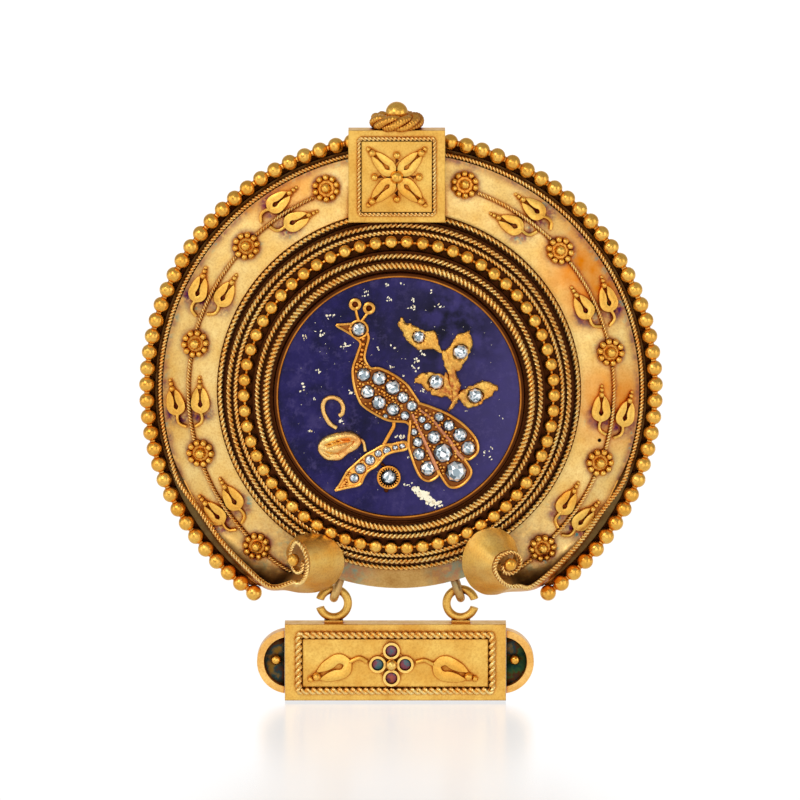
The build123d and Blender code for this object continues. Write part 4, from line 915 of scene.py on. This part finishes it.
def stone_finish():
    """Polished lapis: deep violet blue, cloudy, near black above the leaves."""
    made, tree, surface = finish(
        "polished_lapis", Roughness=0.2, IOR=1.5, Specular_IOR_Level=0.12)
    body = ramp(tree, clouds(tree, 4.0, 7.0, 0.65), [
        (0.34, "#0F0B30"), (0.45, "#191346"), (0.56, "#251D5A"), (0.68, "#3B3268"),
    ])
    haze = spread(tree, clouds(tree, 0.9, 6.0, 0.75), 0.52, 0.8)
    body = blend(tree, haze, body, colour("#50467A"))
    place = node(tree, "ShaderNodeTexCoord").outputs["Object"]
    across = node(tree, "ShaderNodeSeparateXYZ", {0: place})
    veil = spread(tree, across.outputs["X"], -4 * MM, 11 * MM, 0.0, 0.55)
    body = blend(tree, veil, body, colour("#544A86"))
    night = node(tree, "ShaderNodeMath", {
        0: within(tree, *NIGHT_SKY, 5.0), 1: spread(tree, clouds(tree, 2.4, 5.0), 0.4, 0.56),
    }, operation="MULTIPLY").outputs[0]
    body = blend(tree, night, body, colour("#100D26"))
    tree.links.new(body, surface.inputs["Base Color"])
    bumps(tree, surface, [(clouds(tree, 0.25, 4.0), 0.006)])
    return made


def diamond_finish():
    """Foiled rose-cut diamond: each flat facet is given its own random share of white and grey as a
    painted reflection.
    """
    made, tree, surface = finish("rose_cut_diamond", Roughness=0.07, IOR=2.4, Metallic=0.55)
    facet = node(tree, "ShaderNodeNewGeometry").outputs["True Normal"]
    facet_reflection = node(tree, "ShaderNodeTexWhiteNoise", {"Vector": facet}, noise_dimensions="3D")
    body = ramp(tree, facet_reflection.outputs["Value"], [
        (0.0, "#22303A"), (0.2, "#6C828C"), (0.45, "#C2D0D6"), (0.8, "#FFFFFF"),
    ])
    tree.links.new(body, surface.inputs["Base Color"])
    return made


def pyrite_finish():
    """Pyrite specks cut flush with the stone: pale brassy cream, slightly rough."""
    made, tree, surface = finish("pyrite", Metallic=0.7, Roughness=0.4)
    body = ramp(tree, clouds(tree, 0.4), [(0.3, "#C8AC7A"), (0.5, "#FFF6D8")])
    tree.links.new(body, surface.inputs["Base Color"])
    return made


def glaze_finish():
    """Old glaze of the four collets: mottled purple, rose and blue-green over gold."""
    made, tree, surface = finish("collet_glaze", Metallic=0.75, Roughness=0.42)
    body = ramp(tree, clouds(tree, 1.6, 5.0), [
        (0.34, "#2F6A66"), (0.45, "#5A6A70"), (0.5, "#8A4654"), (0.6, "#A85A3C"), (0.7, "#5A2E4A"),
    ])
    tree.links.new(body, surface.inputs["Base Color"])
    bumps(tree, surface, [(clouds(tree, 0.3, 4.0), 0.02)])
    return made


def patina_tint(tree, body):
    """Green, brown and blue bloom on the sunk fields of the bar's rounded ends."""
    hue = ramp(tree, clouds(tree, 1.8, 5.0), [
        (0.34, "#16302A"), (0.44, "#2F4A2A"), (0.5, "#4A2A14"), (0.58, "#1E3A3E"),
        (0.68, "#7A5A22"),
    ])
    left, right = [within(tree, *field, 0.05) for field in LUNETTE_FIELDS]
    both = node(tree, "ShaderNodeMath", {0: left, 1: right}, operation="MAXIMUM").outputs[0]
    return blend(tree, both, body, hue)


# Rounded ends: gold rims round fields of green patina
lunette_gold = gold("patinated_gold", "#FFCF7A", "#E0A04A", 0.36, 0.8, tint=patina_tint)
# Glaze, lapis, diamond and pyrite, each as its function says
glaze = glaze_finish()
lapis = stone_finish()
diamond = diamond_finish()
pyrite = pyrite_finish()


# Medallion


def medallion():
    """Rope rings and the beads on their wire."""
    for name, (radius, height, thickness, bump, hand) in ROPE_RINGS.items():
        ring = rope(circle_line(radius, height), thickness, bump, hand, closed=True)
        piece(ring, name.replace("ring", "twist"), "brooch", "gold_rope", rope_gold, name)
    radius, height, size = BEAD_RING
    beads = plain_wire(circle_line(radius, height), MEDALLION_WIRE, closed=True, step=0.4)
    for k in range(MEDALLION_BEADS):
        place = MEDALLION + polar(radius, 360 * (k + 0.5) / MEDALLION_BEADS, height)
        ball(beads, place, size / 2)
    piece(beads, "medallion_beads", "brooch", "gold_beads", bead_gold, "medallion_bead_wire")


# Crescent, rim and volutes


def scroll_edges(side):
    """Near and far edge points of a volute's wall, from the rim to its inner end."""
    near_oval, far_oval, turns = VOLUTES[side]
    near = [polar(row[1], side * row[0], row[2]) for row in SCROLL_ENTRY]
    far = [polar(row[3], side * row[0], row[4]) for row in SCROLL_ENTRY]
    for angle, near_reach, far_reach in turns:
        across = side * math.cos(math.radians(angle))
        up = math.sin(math.radians(angle))
        for edge, oval, reach in ((near, near_oval, near_reach), (far, far_oval, far_reach)):
            x, y, z, half_width, half_height, lean_x, lean_y = oval
            edge.append(Vector((
                x + half_width * reach * across, y + half_height * reach * up,
                z + reach * (lean_x * across + lean_y * up),
            )))
    return near, far


def trough_edge(side):
    """Angle, radius and height of the crescent's outer edge as it turns up."""
    rows = [(TURN_UP_ANGLE, BAND_OUTER, BAND_OUTER_HEIGHT)]
    for point in scroll_edges(side)[0][:8]:
        radius, angle = to_polar(point)
        if abs(angle) > WALL_ANGLE:
            radius -= BEHIND_WALL
        rows.append((abs(angle), radius, point.z))
    return rows + [(BAND_END_ANGLE, *BAND_END_EDGE)]


def read_off(rows, angle, column):
    """Value between the rows of a table."""
    for first, second in zip(rows, rows[1:]):
        if angle <= second[0]:
            share = max(angle - first[0], 0) / (second[0] - first[0])
            return first[column] + (second[column] - first[column]) * share
    return rows[-1][column]


def halo_at(point):
    """How strongly the bloom shows at a point of the crescent."""
    radius, angle = to_polar(point)
    best = 0.0
    for mark, reach in ROSETTES:
        gap = (point - polar(reach, mark, point.z)).length - ROSETTE_CLEAN
        best = max(best, math.exp(-max(gap, 0) ** 2 / 0.16))
    for reach, mark, _ in PODS:
        trail = mark + math.copysign(POD_TRAIL, mark)
        gap = (point - polar(reach, trail, point.z)).length - POD_CLEAN
        best = max(best, 1.3 * math.exp(-max(gap, 0) ** 2 / 0.34))
    if 16 < abs(angle) < 150:
        best = max(best, 0.7 * math.exp(-((radius - STEM_BLOOM) / 0.32) ** 2))
    best = max(best, 0.75 * math.exp(-max(BAND_OUTER - 0.2 - radius, 0) ** 2 / 0.1))
    low = max(abs(angle) - 128, 0) / 20
    return min(best * (0.75 + 0.6 * noise.noise(point * 0.9)) + 0.45 * min(low, 1.0), 1.0)


def shade_at(point, edge):
    """How black the painted shade makes the sheet next to the radius where it meets the volute's
    wall.
    """
    radius, angle = to_polar(point)
    along = min(max((abs(angle) - 116) / 32, 0), 1)
    scroll = min(max((150.3 - abs(angle)) / 1.5, 0), 1)
    reach = 0.25 + 1.7 * along ** 3 * (0.8 + 0.5 * noise.noise(point * 1.4))
    return math.exp(-(max(edge - radius, 0) / reach) ** 2) * min(4 * along, 1) * scroll


def crescent():
    """Crowned sheet with its flange, turned up at both lower ends."""
    start = BAND_INNER - BAND_OVERREACH
    front = [(start, band_height(start))]
    for k in range(1, 27):
        r = start + (BAND_OUTER - start) * k / 26
        crown = CROWN_RISE * math.exp(-((r - BAND_MIDDLE) / CROWN_REACH) ** 2) - CROWN_SINK
        front.append((r, band_height(r) + crown))
    back = [(r, z - BAND_SHEET) for r, z in front[::-4]]
    rim = [
        (BAND_OUTER, FLANGE_HEIGHT), (FLANGE_OUTER, FLANGE_HEIGHT),
        (FLANGE_OUTER, BEAD_SEAT_HEIGHT), (BEAD_SEAT_OUTER, BEAD_SEAT_HEIGHT),
        (BEAD_SEAT_OUTER, BEAD_SEAT_HEIGHT - FLANGE_SHEET),
        (BAND_OUTER - BAND_SHEET, BEAD_SEAT_HEIGHT - FLANGE_SHEET),
    ]
    sheet = bmesh.new()
    lit, halo, painted_shade = [sheet.verts.layers.float.new(name) for name in ("front", "halo", "painted_shade")]
    ends = [sheet.verts.new((0, r, z)) for r, z in front + rim + back[1:]]
    for vert in ends[:len(front)]:
        vert[lit] = 1
    # Painted shade: the groove under the rim's beads
    for vert in ends[len(front):len(front) + len(rim) - 2]:
        vert[painted_shade] = GROOVE_SHADE
    loop = [sheet.edges.new(pair) for pair in zip(ends, ends[1:] + ends[:1])]
    half_turn = math.radians(BAND_END_ANGLE)
    bmesh.ops.rotate(sheet, cent=(0, 0, 0), matrix=Matrix.Rotation(half_turn, 3, "Z"), verts=ends)
    bmesh.ops.spin(
        sheet, geom=ends + loop, cent=(0, 0, 0), axis=(0, 0, -1), angle=2 * half_turn,
        steps=320, use_merge=False, use_duplicate=False)
    bmesh.ops.holes_fill(sheet, edges=[edge for edge in sheet.edges if edge.is_boundary], sides=0)
    tables = {side: trough_edge(side) for side in (1, -1)}
    for vert in sheet.verts:
        point = vert.co
        radius, angle = to_polar(point)
        rows = tables[math.copysign(1, angle)]
        if BAND_MIDDLE < radius < BAND_OUTER + 0.001 and abs(angle) > TURN_UP_ANGLE:
            share = (radius - BAND_MIDDLE) / (BAND_OUTER - BAND_MIDDLE)
            edge = read_off(rows, abs(angle), 1)
            rise = read_off(rows, abs(angle), 2) - BAND_OUTER_HEIGHT
            # Only the outer edge lifts at first, and then more and more of the sheet
            power = 5 - 3 * min(max((abs(angle) - 126) / 14, 0), 1)
            reach = BAND_MIDDLE + (edge - BAND_MIDDLE) * share
            point.x, point.y = point.x * reach / radius, point.y * reach / radius
            if point.z > FLANGE_HEIGHT + 0.05:
                point.z += rise * share ** power
        away = point.xy - MEDALLION.xy
        if away.length < BAND_INNER + BAND_CLEARANCE:
            away *= (BAND_INNER + BAND_CLEARANCE) / away.length
            point.xy = away + MEDALLION.xy
    bmesh.ops.bisect_plane(
        sheet, geom=sheet.verts[:] + sheet.edges[:] + sheet.faces[:], dist=1e-5,
        plane_co=(0, BAND_TRIM, 0), plane_no=(0, -1, 0), clear_outer=True)
    bmesh.ops.holes_fill(sheet, edges=[edge for edge in sheet.edges if edge.is_boundary], sides=0)
    bmesh.ops.recalc_face_normals(sheet, faces=sheet.faces)
    for vert in sheet.verts:
        angle = to_polar(vert.co)[1]
        edge = read_off(tables[math.copysign(1, angle)], abs(angle), 1)
        vert[halo] = halo_at(vert.co) * vert[lit]
        # Painted shade: black in the groove, less past its end, and in the trough next to the
        # volutes' walls
        groove = vert[painted_shade] if abs(angle) < GROOVE_END_ANGLE else 0.3 * vert[painted_shade]
        vert[painted_shade] = max(shade_at(vert.co, edge) * vert[lit], groove)
    piece(sheet, "crescent_sheet", "brooch", "gold_sheet", satin_gold, "crescent_band", crease=50)


def volutes():
    """Walls that carry the band's ends round into a scroll."""
    for side, name in ((1, "right"), (-1, "left")):
        near, far = scroll_edges(side)
        wall = bmesh.new()
        chains = []
        for edge in (near, far):
            verts = [wall.verts.new(p) for p in smooth(edge, 10)]
            chains += [wall.edges.new(pair) for pair in zip(verts, verts[1:])]
        bmesh.ops.bridge_loops(wall, edges=chains)
        across = [edge for edge in wall.edges if edge not in chains]
        bmesh.ops.subdivide_edges(wall, edges=across, cuts=5, use_grid_fill=True)
        bmesh.ops.recalc_face_normals(wall, faces=wall.faces)
        bmesh.ops.solidify(wall, geom=wall.faces[:], thickness=VOLUTE_WALL)
        bmesh.ops.recalc_face_normals(wall, faces=wall.faces)
        piece(wall, f"volute_{name}", "brooch", "gold_polished", volute_gold, crease=50)
    balls = bmesh.new()
    for place in VOLUTE_BALLS:
        ball(balls, place, VOLUTE_BALL_RADIUS)
    piece(balls, "volute_eyes", "brooch", "gold_beads", bead_gold, "volute_balls")


def rim():
    """Beads on the flange, and the rope that runs on along both volutes."""
    radius, height, size = RIM_BEAD
    arc = [polar(radius, -RIM_END_ANGLE + 2 * RIM_END_ANGLE * k / 240, height) for k in range(241)]
    beads = plain_wire(arc, BEAD_WIRE, step=0.4)
    for k in range(RIM_BEADS):
        angle = -RIM_END_ANGLE + 2 * RIM_END_ANGLE * k / (RIM_BEADS - 1)
        ball(beads, polar(radius, angle, height), size / 2, 22, 15)
    piece(beads, "rim_beads", "brooch", "gold_beads", bead_gold, "rim_bead_wire")

    radius, height, thickness = RIM_ROPE
    lift = (VOLUTE_WALL + thickness) / 2 + 2 * CLEAR
    tails = []
    for side in (-1, 1):
        edge = [near + (near - far).normalized() * lift for near, far in zip(*scroll_edges(side))]
        start = polar(radius, side * TURN_UP_ANGLE, height)
        climb = polar(radius, side * SCROLL_ENTRY[0][0], edge[0].z)
        tails.append(smooth([start, climb] + edge[1:], 10))
    left, right = tails
    arc = [polar(radius, angle, height) for angle in range(1 - TURN_UP_ANGLE, TURN_UP_ANGLE)]
    twist = rope(left[::-1] + arc + right, thickness, ROPE_BUMP)
    piece(twist, "rim_twist", "brooch", "gold_rope", rope_gold, "rim_rope")


def rosettes():
    """Rings of granules round a ball, on small discs."""
    flower, foot = bmesh.new(), bmesh.new()
    radius, thickness = ROSETTE_DISC
    disc(foot, Matrix.Translation((0, 0, thickness / 2)), radius, thickness, 32)
    height, radius = ROSETTE_BALL
    ball(flower, (0, 0, height), radius, 16, 11)
    height, radius = ROSETTE_GRAIN
    for k in range(ROSETTE_GRAINS):
        ball(flower, polar(ROSETTE_RING, 360 / ROSETTE_GRAINS * k, height), radius, 10, 7)
    field, discs = bmesh.new(), bmesh.new()
    for angle, radius in ROSETTES:
        place = on_band(radius, angle, angle)
        put(field, flower, place)
        put(discs, foot, place)
    piece(field, "granule_rosettes", "brooch", "gold_ornament", bead_gold, "rosettes")
    piece(discs, "rosette_discs", "brooch", "gold_ornament", bead_gold)


def pods():
    """Leaf pods with bowed stems, in pairs along the twisted stems."""
    field = bmesh.new()
    for radius, angle, lean in PODS:
        side = math.copysign(1, angle)
        bend = side * math.copysign(1, radius - BAND_MIDDLE)
        pod = leaf_with_grains(*POD, POD_GRAINS)
        bow = smooth([Vector((x, y * bend, POD_STEM_HEIGHT)) for x, y in POD_BOW], 6)
        put(pod, plain_wire(bow, POD_STEM, width=0.9))
        bmesh.ops.translate(pod, vec=(-POD[0] / 2, 0, 0), verts=pod.verts)
        put(field, pod, on_band(radius, angle, angle - 90 * side + lean))
    piece(field, "keyhole_pods", "brooch", "gold_ornament", leaf_sheet_gold, "leaf_pods")


def stems():
    """Lengths of fine rope from rosette to rosette."""
    field = bmesh.new()
    for start, end, radius in STEMS:
        side = math.copysign(1, end)
        trim = math.degrees(STEM_GAP / radius)
        first = abs(start) + trim
        last = abs(end) - (trim if abs(end) < WALL_ANGLE else 0)
        steps = 40
        height = band_height(radius) + STEM_LIFT
        line = [polar(radius, side * (first + (last - first) * k / steps), height)
                for k in range(steps + 1)]
        put(field, rope(line, *STEM_ROPE, side))
    piece(field, "stem_twists", "brooch", "gold_rope", rope_gold, "stem_wires")


# Plaque and finial


def plaque():
    """Rope frame and the flower of keyhole petals."""
    twist = box_rope(PLAQUE_ROPE, 0.12, 0.42, PLAQUE)
    piece(twist, "plaque_twist", "brooch", "gold_rope", rope_gold, "plaque_rope")
    flower = bmesh.new()
    for corner in range(4):
        petal = leaf_with_grains(*PETAL, PETAL_GRAINS, 0.04)
        bmesh.ops.translate(petal, vec=(0.3, 0, 0), verts=petal.verts)
        turn = Matrix.Rotation(math.radians(45 + 90 * corner), 4, "Z")
        put(flower, petal, PLAQUE @ Matrix.Translation((0, 0, PANEL_RAISE)) @ turn)
    piece(flower, "plaque_petals", "brooch", "gold_ornament", leaf_sheet_gold, "plaque_flower")
    grains, notches = bmesh.new(), bmesh.new()
    height, radius = PLAQUE_EYE
    ball(grains, PLAQUE @ Vector((0, 0, PANEL_RAISE + height)), radius)
    for corner in range(4):
        out, radius = PLAQUE_BALL
        ball(grains, PLAQUE @ polar(out, 90 * corner, radius + PANEL_RAISE), radius, 12, 8)
        # The notches are dark triangles of painted shade
        out, radius = PLAQUE_NOTCH
        point = PLAQUE @ Matrix.Translation(polar(out, 90 * corner, PANEL_RAISE + 0.01))
        turn = Matrix.Rotation(math.radians(90 - 90 * corner), 4, "Z")
        long = Matrix.Diagonal((1.35, 0.8, 1, 1)) @ Matrix.Rotation(math.pi, 4, "Z")
        disc(notches, point @ turn @ long, radius, 0.02, 3)
    piece(grains, "plaque_granules", "brooch", "gold_ornament", bead_gold)
    piece(notches, "plaque_notch_shade", "brooch", "gold_ornament", recess_gold)


def finial():
    """Three cords, each wound with fine wire, twisted into a ring under a ball."""
    middle, radius = FINIAL_RING
    across, along = FINIAL_WIND
    cords = bmesh.new()
    for strand in range(3):
        line = []
        for k in range(181):
            turn = math.tau * k / 180
            wind = 3 * turn + math.tau * strand / 3
            out = radius - 0.06 + across * math.cos(wind)
            line.append(middle + Vector(
                (out * math.sin(turn), along * math.sin(wind) + 0.1, out * math.cos(turn))))
        ribs = round(line_length(line) / FINIAL_RIB)
        cord = plain_wire(line, FINIAL_CORD, closed=True, sides=10, step=0.06,
                          taper=lambda share: 1 + 0.07 * math.cos(math.tau * ribs * share))
        put(cords, cord)
    piece(cords, "finial_cords", "brooch", "gold_rope", cord_gold, "finial_ring")
    top = bmesh.new()
    height, radius = FINIAL_BALL
    ball(top, middle + Vector((0, height, 0)), radius, 28, 20)
    piece(top, "finial_bead", "brooch", "gold_beads", bead_gold, "finial_ball")


# Bar


def bar():
    """Rope frame, flower of collets and the two leaves."""
    twist = box_rope(BAR_ROPE, 0.15, 0.66, BAR)
    piece(twist, "bar_twist", "bar", "gold_rope", rope_gold, "bar_rope")
    panel = BAR @ Matrix.Translation((0, 0, PANEL_RAISE))
    for name, (x, y, heading, stem) in BAR_LEAVES.items():
        leaf = leaf_with_grains(*BAR_LEAF, BAR_LEAF_GRAINS, 0.06)
        turn = Matrix.Rotation(math.radians(heading), 4, "Z")
        bmesh.ops.transform(leaf, matrix=Matrix.Translation((x, y, 0)) @ turn, verts=leaf.verts)
        bow = smooth([Vector((px, py, 0.19)) for px, py in stem], 8)
        put(leaf, plain_wire(bow, 0.38))
        shape = bmesh.new()
        put(shape, leaf, panel)
        title = name.replace("leaf", "keyhole_leaf")
        piece(shape, title, "bar", "gold_ornament", leaf_sheet_gold, name)
    ends = bmesh.new()
    x, y, z, radius = LUNETTE_BALL
    for side in (-1, 1):
        ball(ends, BAR @ Vector((side * x, y, z)), radius)
    piece(ends, "lunette_beads", "bar", "gold_beads", bead_gold)
    fills = bmesh.new()
    for quarter in range(4):
        place = panel @ Vector((*BAR_FLOWER, 0.2)) + polar(COLLET_RING, 90 * quarter)
        bmesh.ops.create_uvsphere(
            fills, u_segments=16, v_segments=8, radius=COLLET_FILL,
            matrix=Matrix.Translation(place) @ Matrix.Diagonal((1, 1, 0.25, 1)))
    piece(fills, "collet_enamel", "bar", "gold_patina", glaze)


# Inlay


def bird_walls():
    """Thin walls round the body, the beak, the tail feathers and the bough."""
    walls = bmesh.new()
    lines = [smooth(flat(line, SHEET)) for line in (BREAST, BACK, BEAK, *FEATHER_EDGES)]
    lines.append(smooth(flat(BOUGH + BOUGH[:1], SHEET), 3))
    for line in lines:
        put(walls, plain_wire(line, WALL, width=WALL_WIDTH))
    put(walls, plain_wire(ring_line(HEAD, 0.88, SHEET, 48), 0.26, closed=True))
    for spot in CREST:
        put(walls, plain_wire(ring_line(spot, 0.46, SHEET, 32), 0.4, closed=True))
    for line in CREST_STEMS:
        put(walls, plain_wire(smooth(flat(line, SHEET)), 0.3))
    piece(walls, "bird_walls", "brooch", "gold_inlay", inlay_gold)
    eyes = bmesh.new()
    for place in flat(CREST, 0.1):
        disc(eyes, Matrix.Translation(place), 0.42, 0.2, 20)
    piece(eyes, "crest_eyes", "brooch", "gold_inlay", recess_gold)
    dividers = bmesh.new()
    for line in FEATHER_DIVIDERS:
        put(dividers, plain_wire(smooth(flat(line, SHEET)), 0.56, width=WALL_WIDTH,
                                 taper=lambda share: 0.6 + 0.4 * share))
    piece(dividers, "feather_dividers", "brooch", "gold_inlay", rose_gold)


def granules_between():
    """Grains of gold that fill the gaps between the stones."""
    grains = bmesh.new()
    stones = BODY_STONES + TAIL_STONES + BRANCH_STONES
    for field in (BREAST + BACK, TAIL_FIELD, BOUGH):
        placed = []
        sides = list(zip(flat(field), flat(field[1:] + field[:1])))
        for _ in range(GRAIN_TRIES):
            spot = tuple(GRAINS.uniform(*reach) for reach in GRAIN_REACH)
            size = GRAINS.uniform(*GRAIN_SIZES)
            if not inside(spot, field):
                continue
            clear = all(math.dist(spot, gem[:2]) > gem[2] + size - GRAIN_OVERLAP for gem in stones)
            apart = all(math.dist(spot, other) > GRAIN_SPACING for other in placed)
            if clear and apart:
                point = flat([spot])[0]
                gap = min((point - near_point(point, *side)).length for side in sides)
                if gap > GRAIN_WALL_GAP:
                    placed.append(spot)
                    ball(grains, flat([spot], SHEET + size * 0.5)[0], size, 7, 5)
    for spot in NECK_GRAINS:
        ball(grains, flat([spot], SHEET + 0.05)[0], 0.2, 9, 6)
    piece(grains, "bird_granules", "brooch", "gold_inlay", inlay_gold)


def leaves():
    """Hammered leaves and trunk with ragged edges, pressed down round the stones."""
    field = bmesh.new()

    def seats(point):
        gap = min((point.xy - MEDALLION.xy - Vector(gem[:2])).length - gem[2]
                  for gem in LEAF_STONES)
        return -0.32 * math.exp(-(max(gap, 0) / 0.09) ** 2)

    for leaf in LEAVES + [TRUNK]:
        line = smooth(flat(leaf), 6, closed=True)[:-1]
        ragged = []
        for k, point in enumerate(line):
            out = (line[(k + 1) % len(line)] - line[k - 1]).cross(Vector((0, 0, 1))).normalized()
            ragged.append(point + out * uneven(point, TORN_EDGE))
        put(field, cushion(ragged, 0.42, 0.5, 0.16, seats))
    piece(field, "hammered_leaves", "brooch", "gold_leaf", hammered_gold, "leaf_spray", crease=60)


def fruit():
    """Carved pod with two curved grooves and its bent stem."""
    grooves = [smooth(flat(line), 4) for line in FRUIT_GROOVES]
    runs = [run for line in grooves for run in zip(line, line[1:])]

    def carve(point):
        place = Vector((point.x, point.y, INLAY_FRONT))
        gap = min((place - near_point(place, *run)).length for run in runs)
        return -0.5 * math.exp(-(gap / 0.2) ** 2) + 0.14 * math.exp(-((gap - 0.5) / 0.22) ** 2)

    body = cushion(smooth(flat(FRUIT), 5, closed=True)[:-1], 0.75, 1.1, 0.14, carve)
    put(body, plain_wire(smooth(flat(FRUIT_STEM, 0.17)), 0.34))
    piece(body, "carved_fruit", "brooch", "gold_leaf", fruit_gold, "fruit", crease=60)


def berry():
    """Ring of the berry's collet, with small claws inside it."""
    height = 0.5
    claws = plain_wire(ring_line(BERRY, 1.08, height, 48), 0.24, closed=True)
    place = Matrix.Translation(flat([BERRY], height)[0])
    for k in range(22):
        turn = Matrix.Rotation(math.tau * k / 22, 4, "Z")
        claw = Matrix.Translation((0.93, 0, 0)) @ Matrix.Diagonal((0.22, 0.09, 0.16, 1))
        bmesh.ops.create_cube(claws, size=1, matrix=place @ turn @ claw)
    piece(claws, "berry_claws", "brooch", "gold_inlay", inlay_gold)


def pyrite_flecks():
    """Specks of pyrite in the lapis, in loose clusters and one streak."""
    flecks = bmesh.new()
    spots = []
    for x, y, count in PYRITE:
        spots += [(GRAINS.gauss(x, 0.22), GRAINS.gauss(y, 0.16), GRAINS.uniform(0.05, 0.16))
                  for _ in range(count * 2)]
    (x1, y1), (x2, y2) = PYRITE_STREAK
    for _ in range(STREAK_SPECKS):
        share = GRAINS.random()
        spots.append((x1 + (x2 - x1) * share + GRAINS.gauss(0, 0.16),
                      y1 + (y2 - y1) * share + GRAINS.gauss(0, 0.16), GRAINS.uniform(0.1, 0.28)))
    for _ in range(LOOSE_SPECKS):
        spots.append((
            GRAINS.uniform(-10, 10), GRAINS.uniform(-10, 10), GRAINS.uniform(0.025, 0.05)))
    for x, y, size in spots:
        if math.hypot(x, y) + size > LAPIS_EDGE:
            continue
        place = MEDALLION + Vector((x, y, SPECK_HEIGHT + GRAINS.uniform(0, 0.012)))
        turn = Matrix.Rotation(GRAINS.uniform(0, 3), 4, "Z")
        squeeze = Matrix.Diagonal((1, GRAINS.uniform(0.4, 0.9), 1, 1))
        speck = bmesh.ops.create_circle(
            flecks, cap_ends=True, segments=6, radius=size,
            matrix=Matrix.Translation(place) @ turn @ squeeze)
        for vert in speck["verts"]:
            vert.co = place + (vert.co - place) * GRAINS.uniform(0.6, 1.25)
    thin = bmesh.ops.extrude_face_region(flecks, geom=flecks.faces[:])["geom"]
    raised = [item for item in thin if isinstance(item, bmesh.types.BMVert)]
    bmesh.ops.translate(flecks, vec=(0, 0, SPECK_DEPTH), verts=raised)
    bmesh.ops.recalc_face_normals(flecks, faces=flecks.faces)
    piece(flecks, "pyrite_flecks", "brooch", "lapis", pyrite)


def carried_nodes():
    """Finish of the CAD nodes that show as they are."""
    finishes = {
        "medallion_frame": collar_gold, "back_plate": back_gold, "pin": back_gold,
        "bezel": bezel_gold, "lapis_disc": lapis, "plaque_box": box_gold, "bar_box": box_gold,
        "lunette_left": lunette_gold, "lunette_right": lunette_gold, "tendril": fruit_gold,
        "peacock_setting": nest_gold, "branch": inlay_gold, "berry_collet": recess_gold,
    }
    for name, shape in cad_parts.items():
        shade = diamond if "stone" in name else finishes.get(name, polished_gold)
        for slot in shape.material_slots:
            slot.material = shade
        if not shape.material_slots:
            shape.data.materials.append(shade)


def white_room():
    """Dim soft room, white behind the object, where the floor mirrors it, and to the eye."""
    world = bpy.data.worlds.new("studio")
    bpy.context.scene.world = world
    world.use_nodes = True
    tree = world.node_tree
    way = node(tree, "ShaderNodeSeparateXYZ", {
        0: node(tree, "ShaderNodeTexCoord").outputs["Generated"]}).outputs["Y"]
    behind = spread(tree, way, 0.82, 0.93, 0.45, 1.0)
    seen = node(tree, "ShaderNodeLightPath").outputs["Is Camera Ray"]
    strength = node(tree, "ShaderNodeMath", {0: behind, 1: seen}, operation="MAXIMUM").outputs[0]
    background = tree.nodes["Background"]
    background.inputs["Color"].default_value = colour("#FFFFFF")
    tree.links.new(strength, background.inputs["Strength"])


def studio():
    """Pale floor, soft lights and the camera."""
    card = finish(
        "white_card", Roughness=0.25, Base_Color=colour("#000000"), Specular_IOR_Level=0.45,
        Emission_Color=colour("#FFFFFF"), Emission_Strength=0.74)[0]
    floor = bpy.data.objects.new("floor", bpy.data.meshes.new("floor"))
    ground = bmesh.new()
    low = Matrix.Translation((0, 0, cad_box[0].z - FLOOR_GAP))
    bmesh.ops.create_grid(ground, x_segments=1, y_segments=1, size=FLOOR_SIZE, matrix=low)
    ground.to_mesh(floor.data)
    ground.free()
    floor.data.materials.append(card)
    bpy.context.scene.collection.objects.link(floor)
    white_room()

    for name, (place, size, power) in LIGHTS.items():
        lamp = bpy.data.lights.new(name, "AREA")
        lamp.size = size
        lamp.energy = power
        stand = bpy.data.objects.new(name, lamp)
        stand.location = place
        stand.rotation_euler = (LIGHT_AIM - Vector(place)).to_track_quat("-Z", "Y").to_euler()
        bpy.context.scene.collection.objects.link(stand)

    camera = bpy.data.cameras.new("camera")
    camera.lens = CAMERA_LENS
    camera.sensor_width = 36
    camera.clip_end = 20
    view = bpy.data.objects.new("camera", camera)
    back = Vector((0, -math.cos(CAMERA_TILT), math.sin(CAMERA_TILT)))
    view.location = CAMERA_AIM + CAMERA_DISTANCE * back
    view.rotation_euler = (math.radians(90) - CAMERA_TILT, 0, 0)
    bpy.context.scene.collection.objects.link(view)
    bpy.context.scene.camera = view
    bpy.context.scene.view_settings.view_transform = "Standard"


carried_nodes()
medallion()
crescent()
volutes()
rim()
rosettes()
pods()
stems()
plaque()
finial()
bar()
bird_walls()
granules_between()
leaves()
fruit()
berry()
pyrite_flecks()
studio()
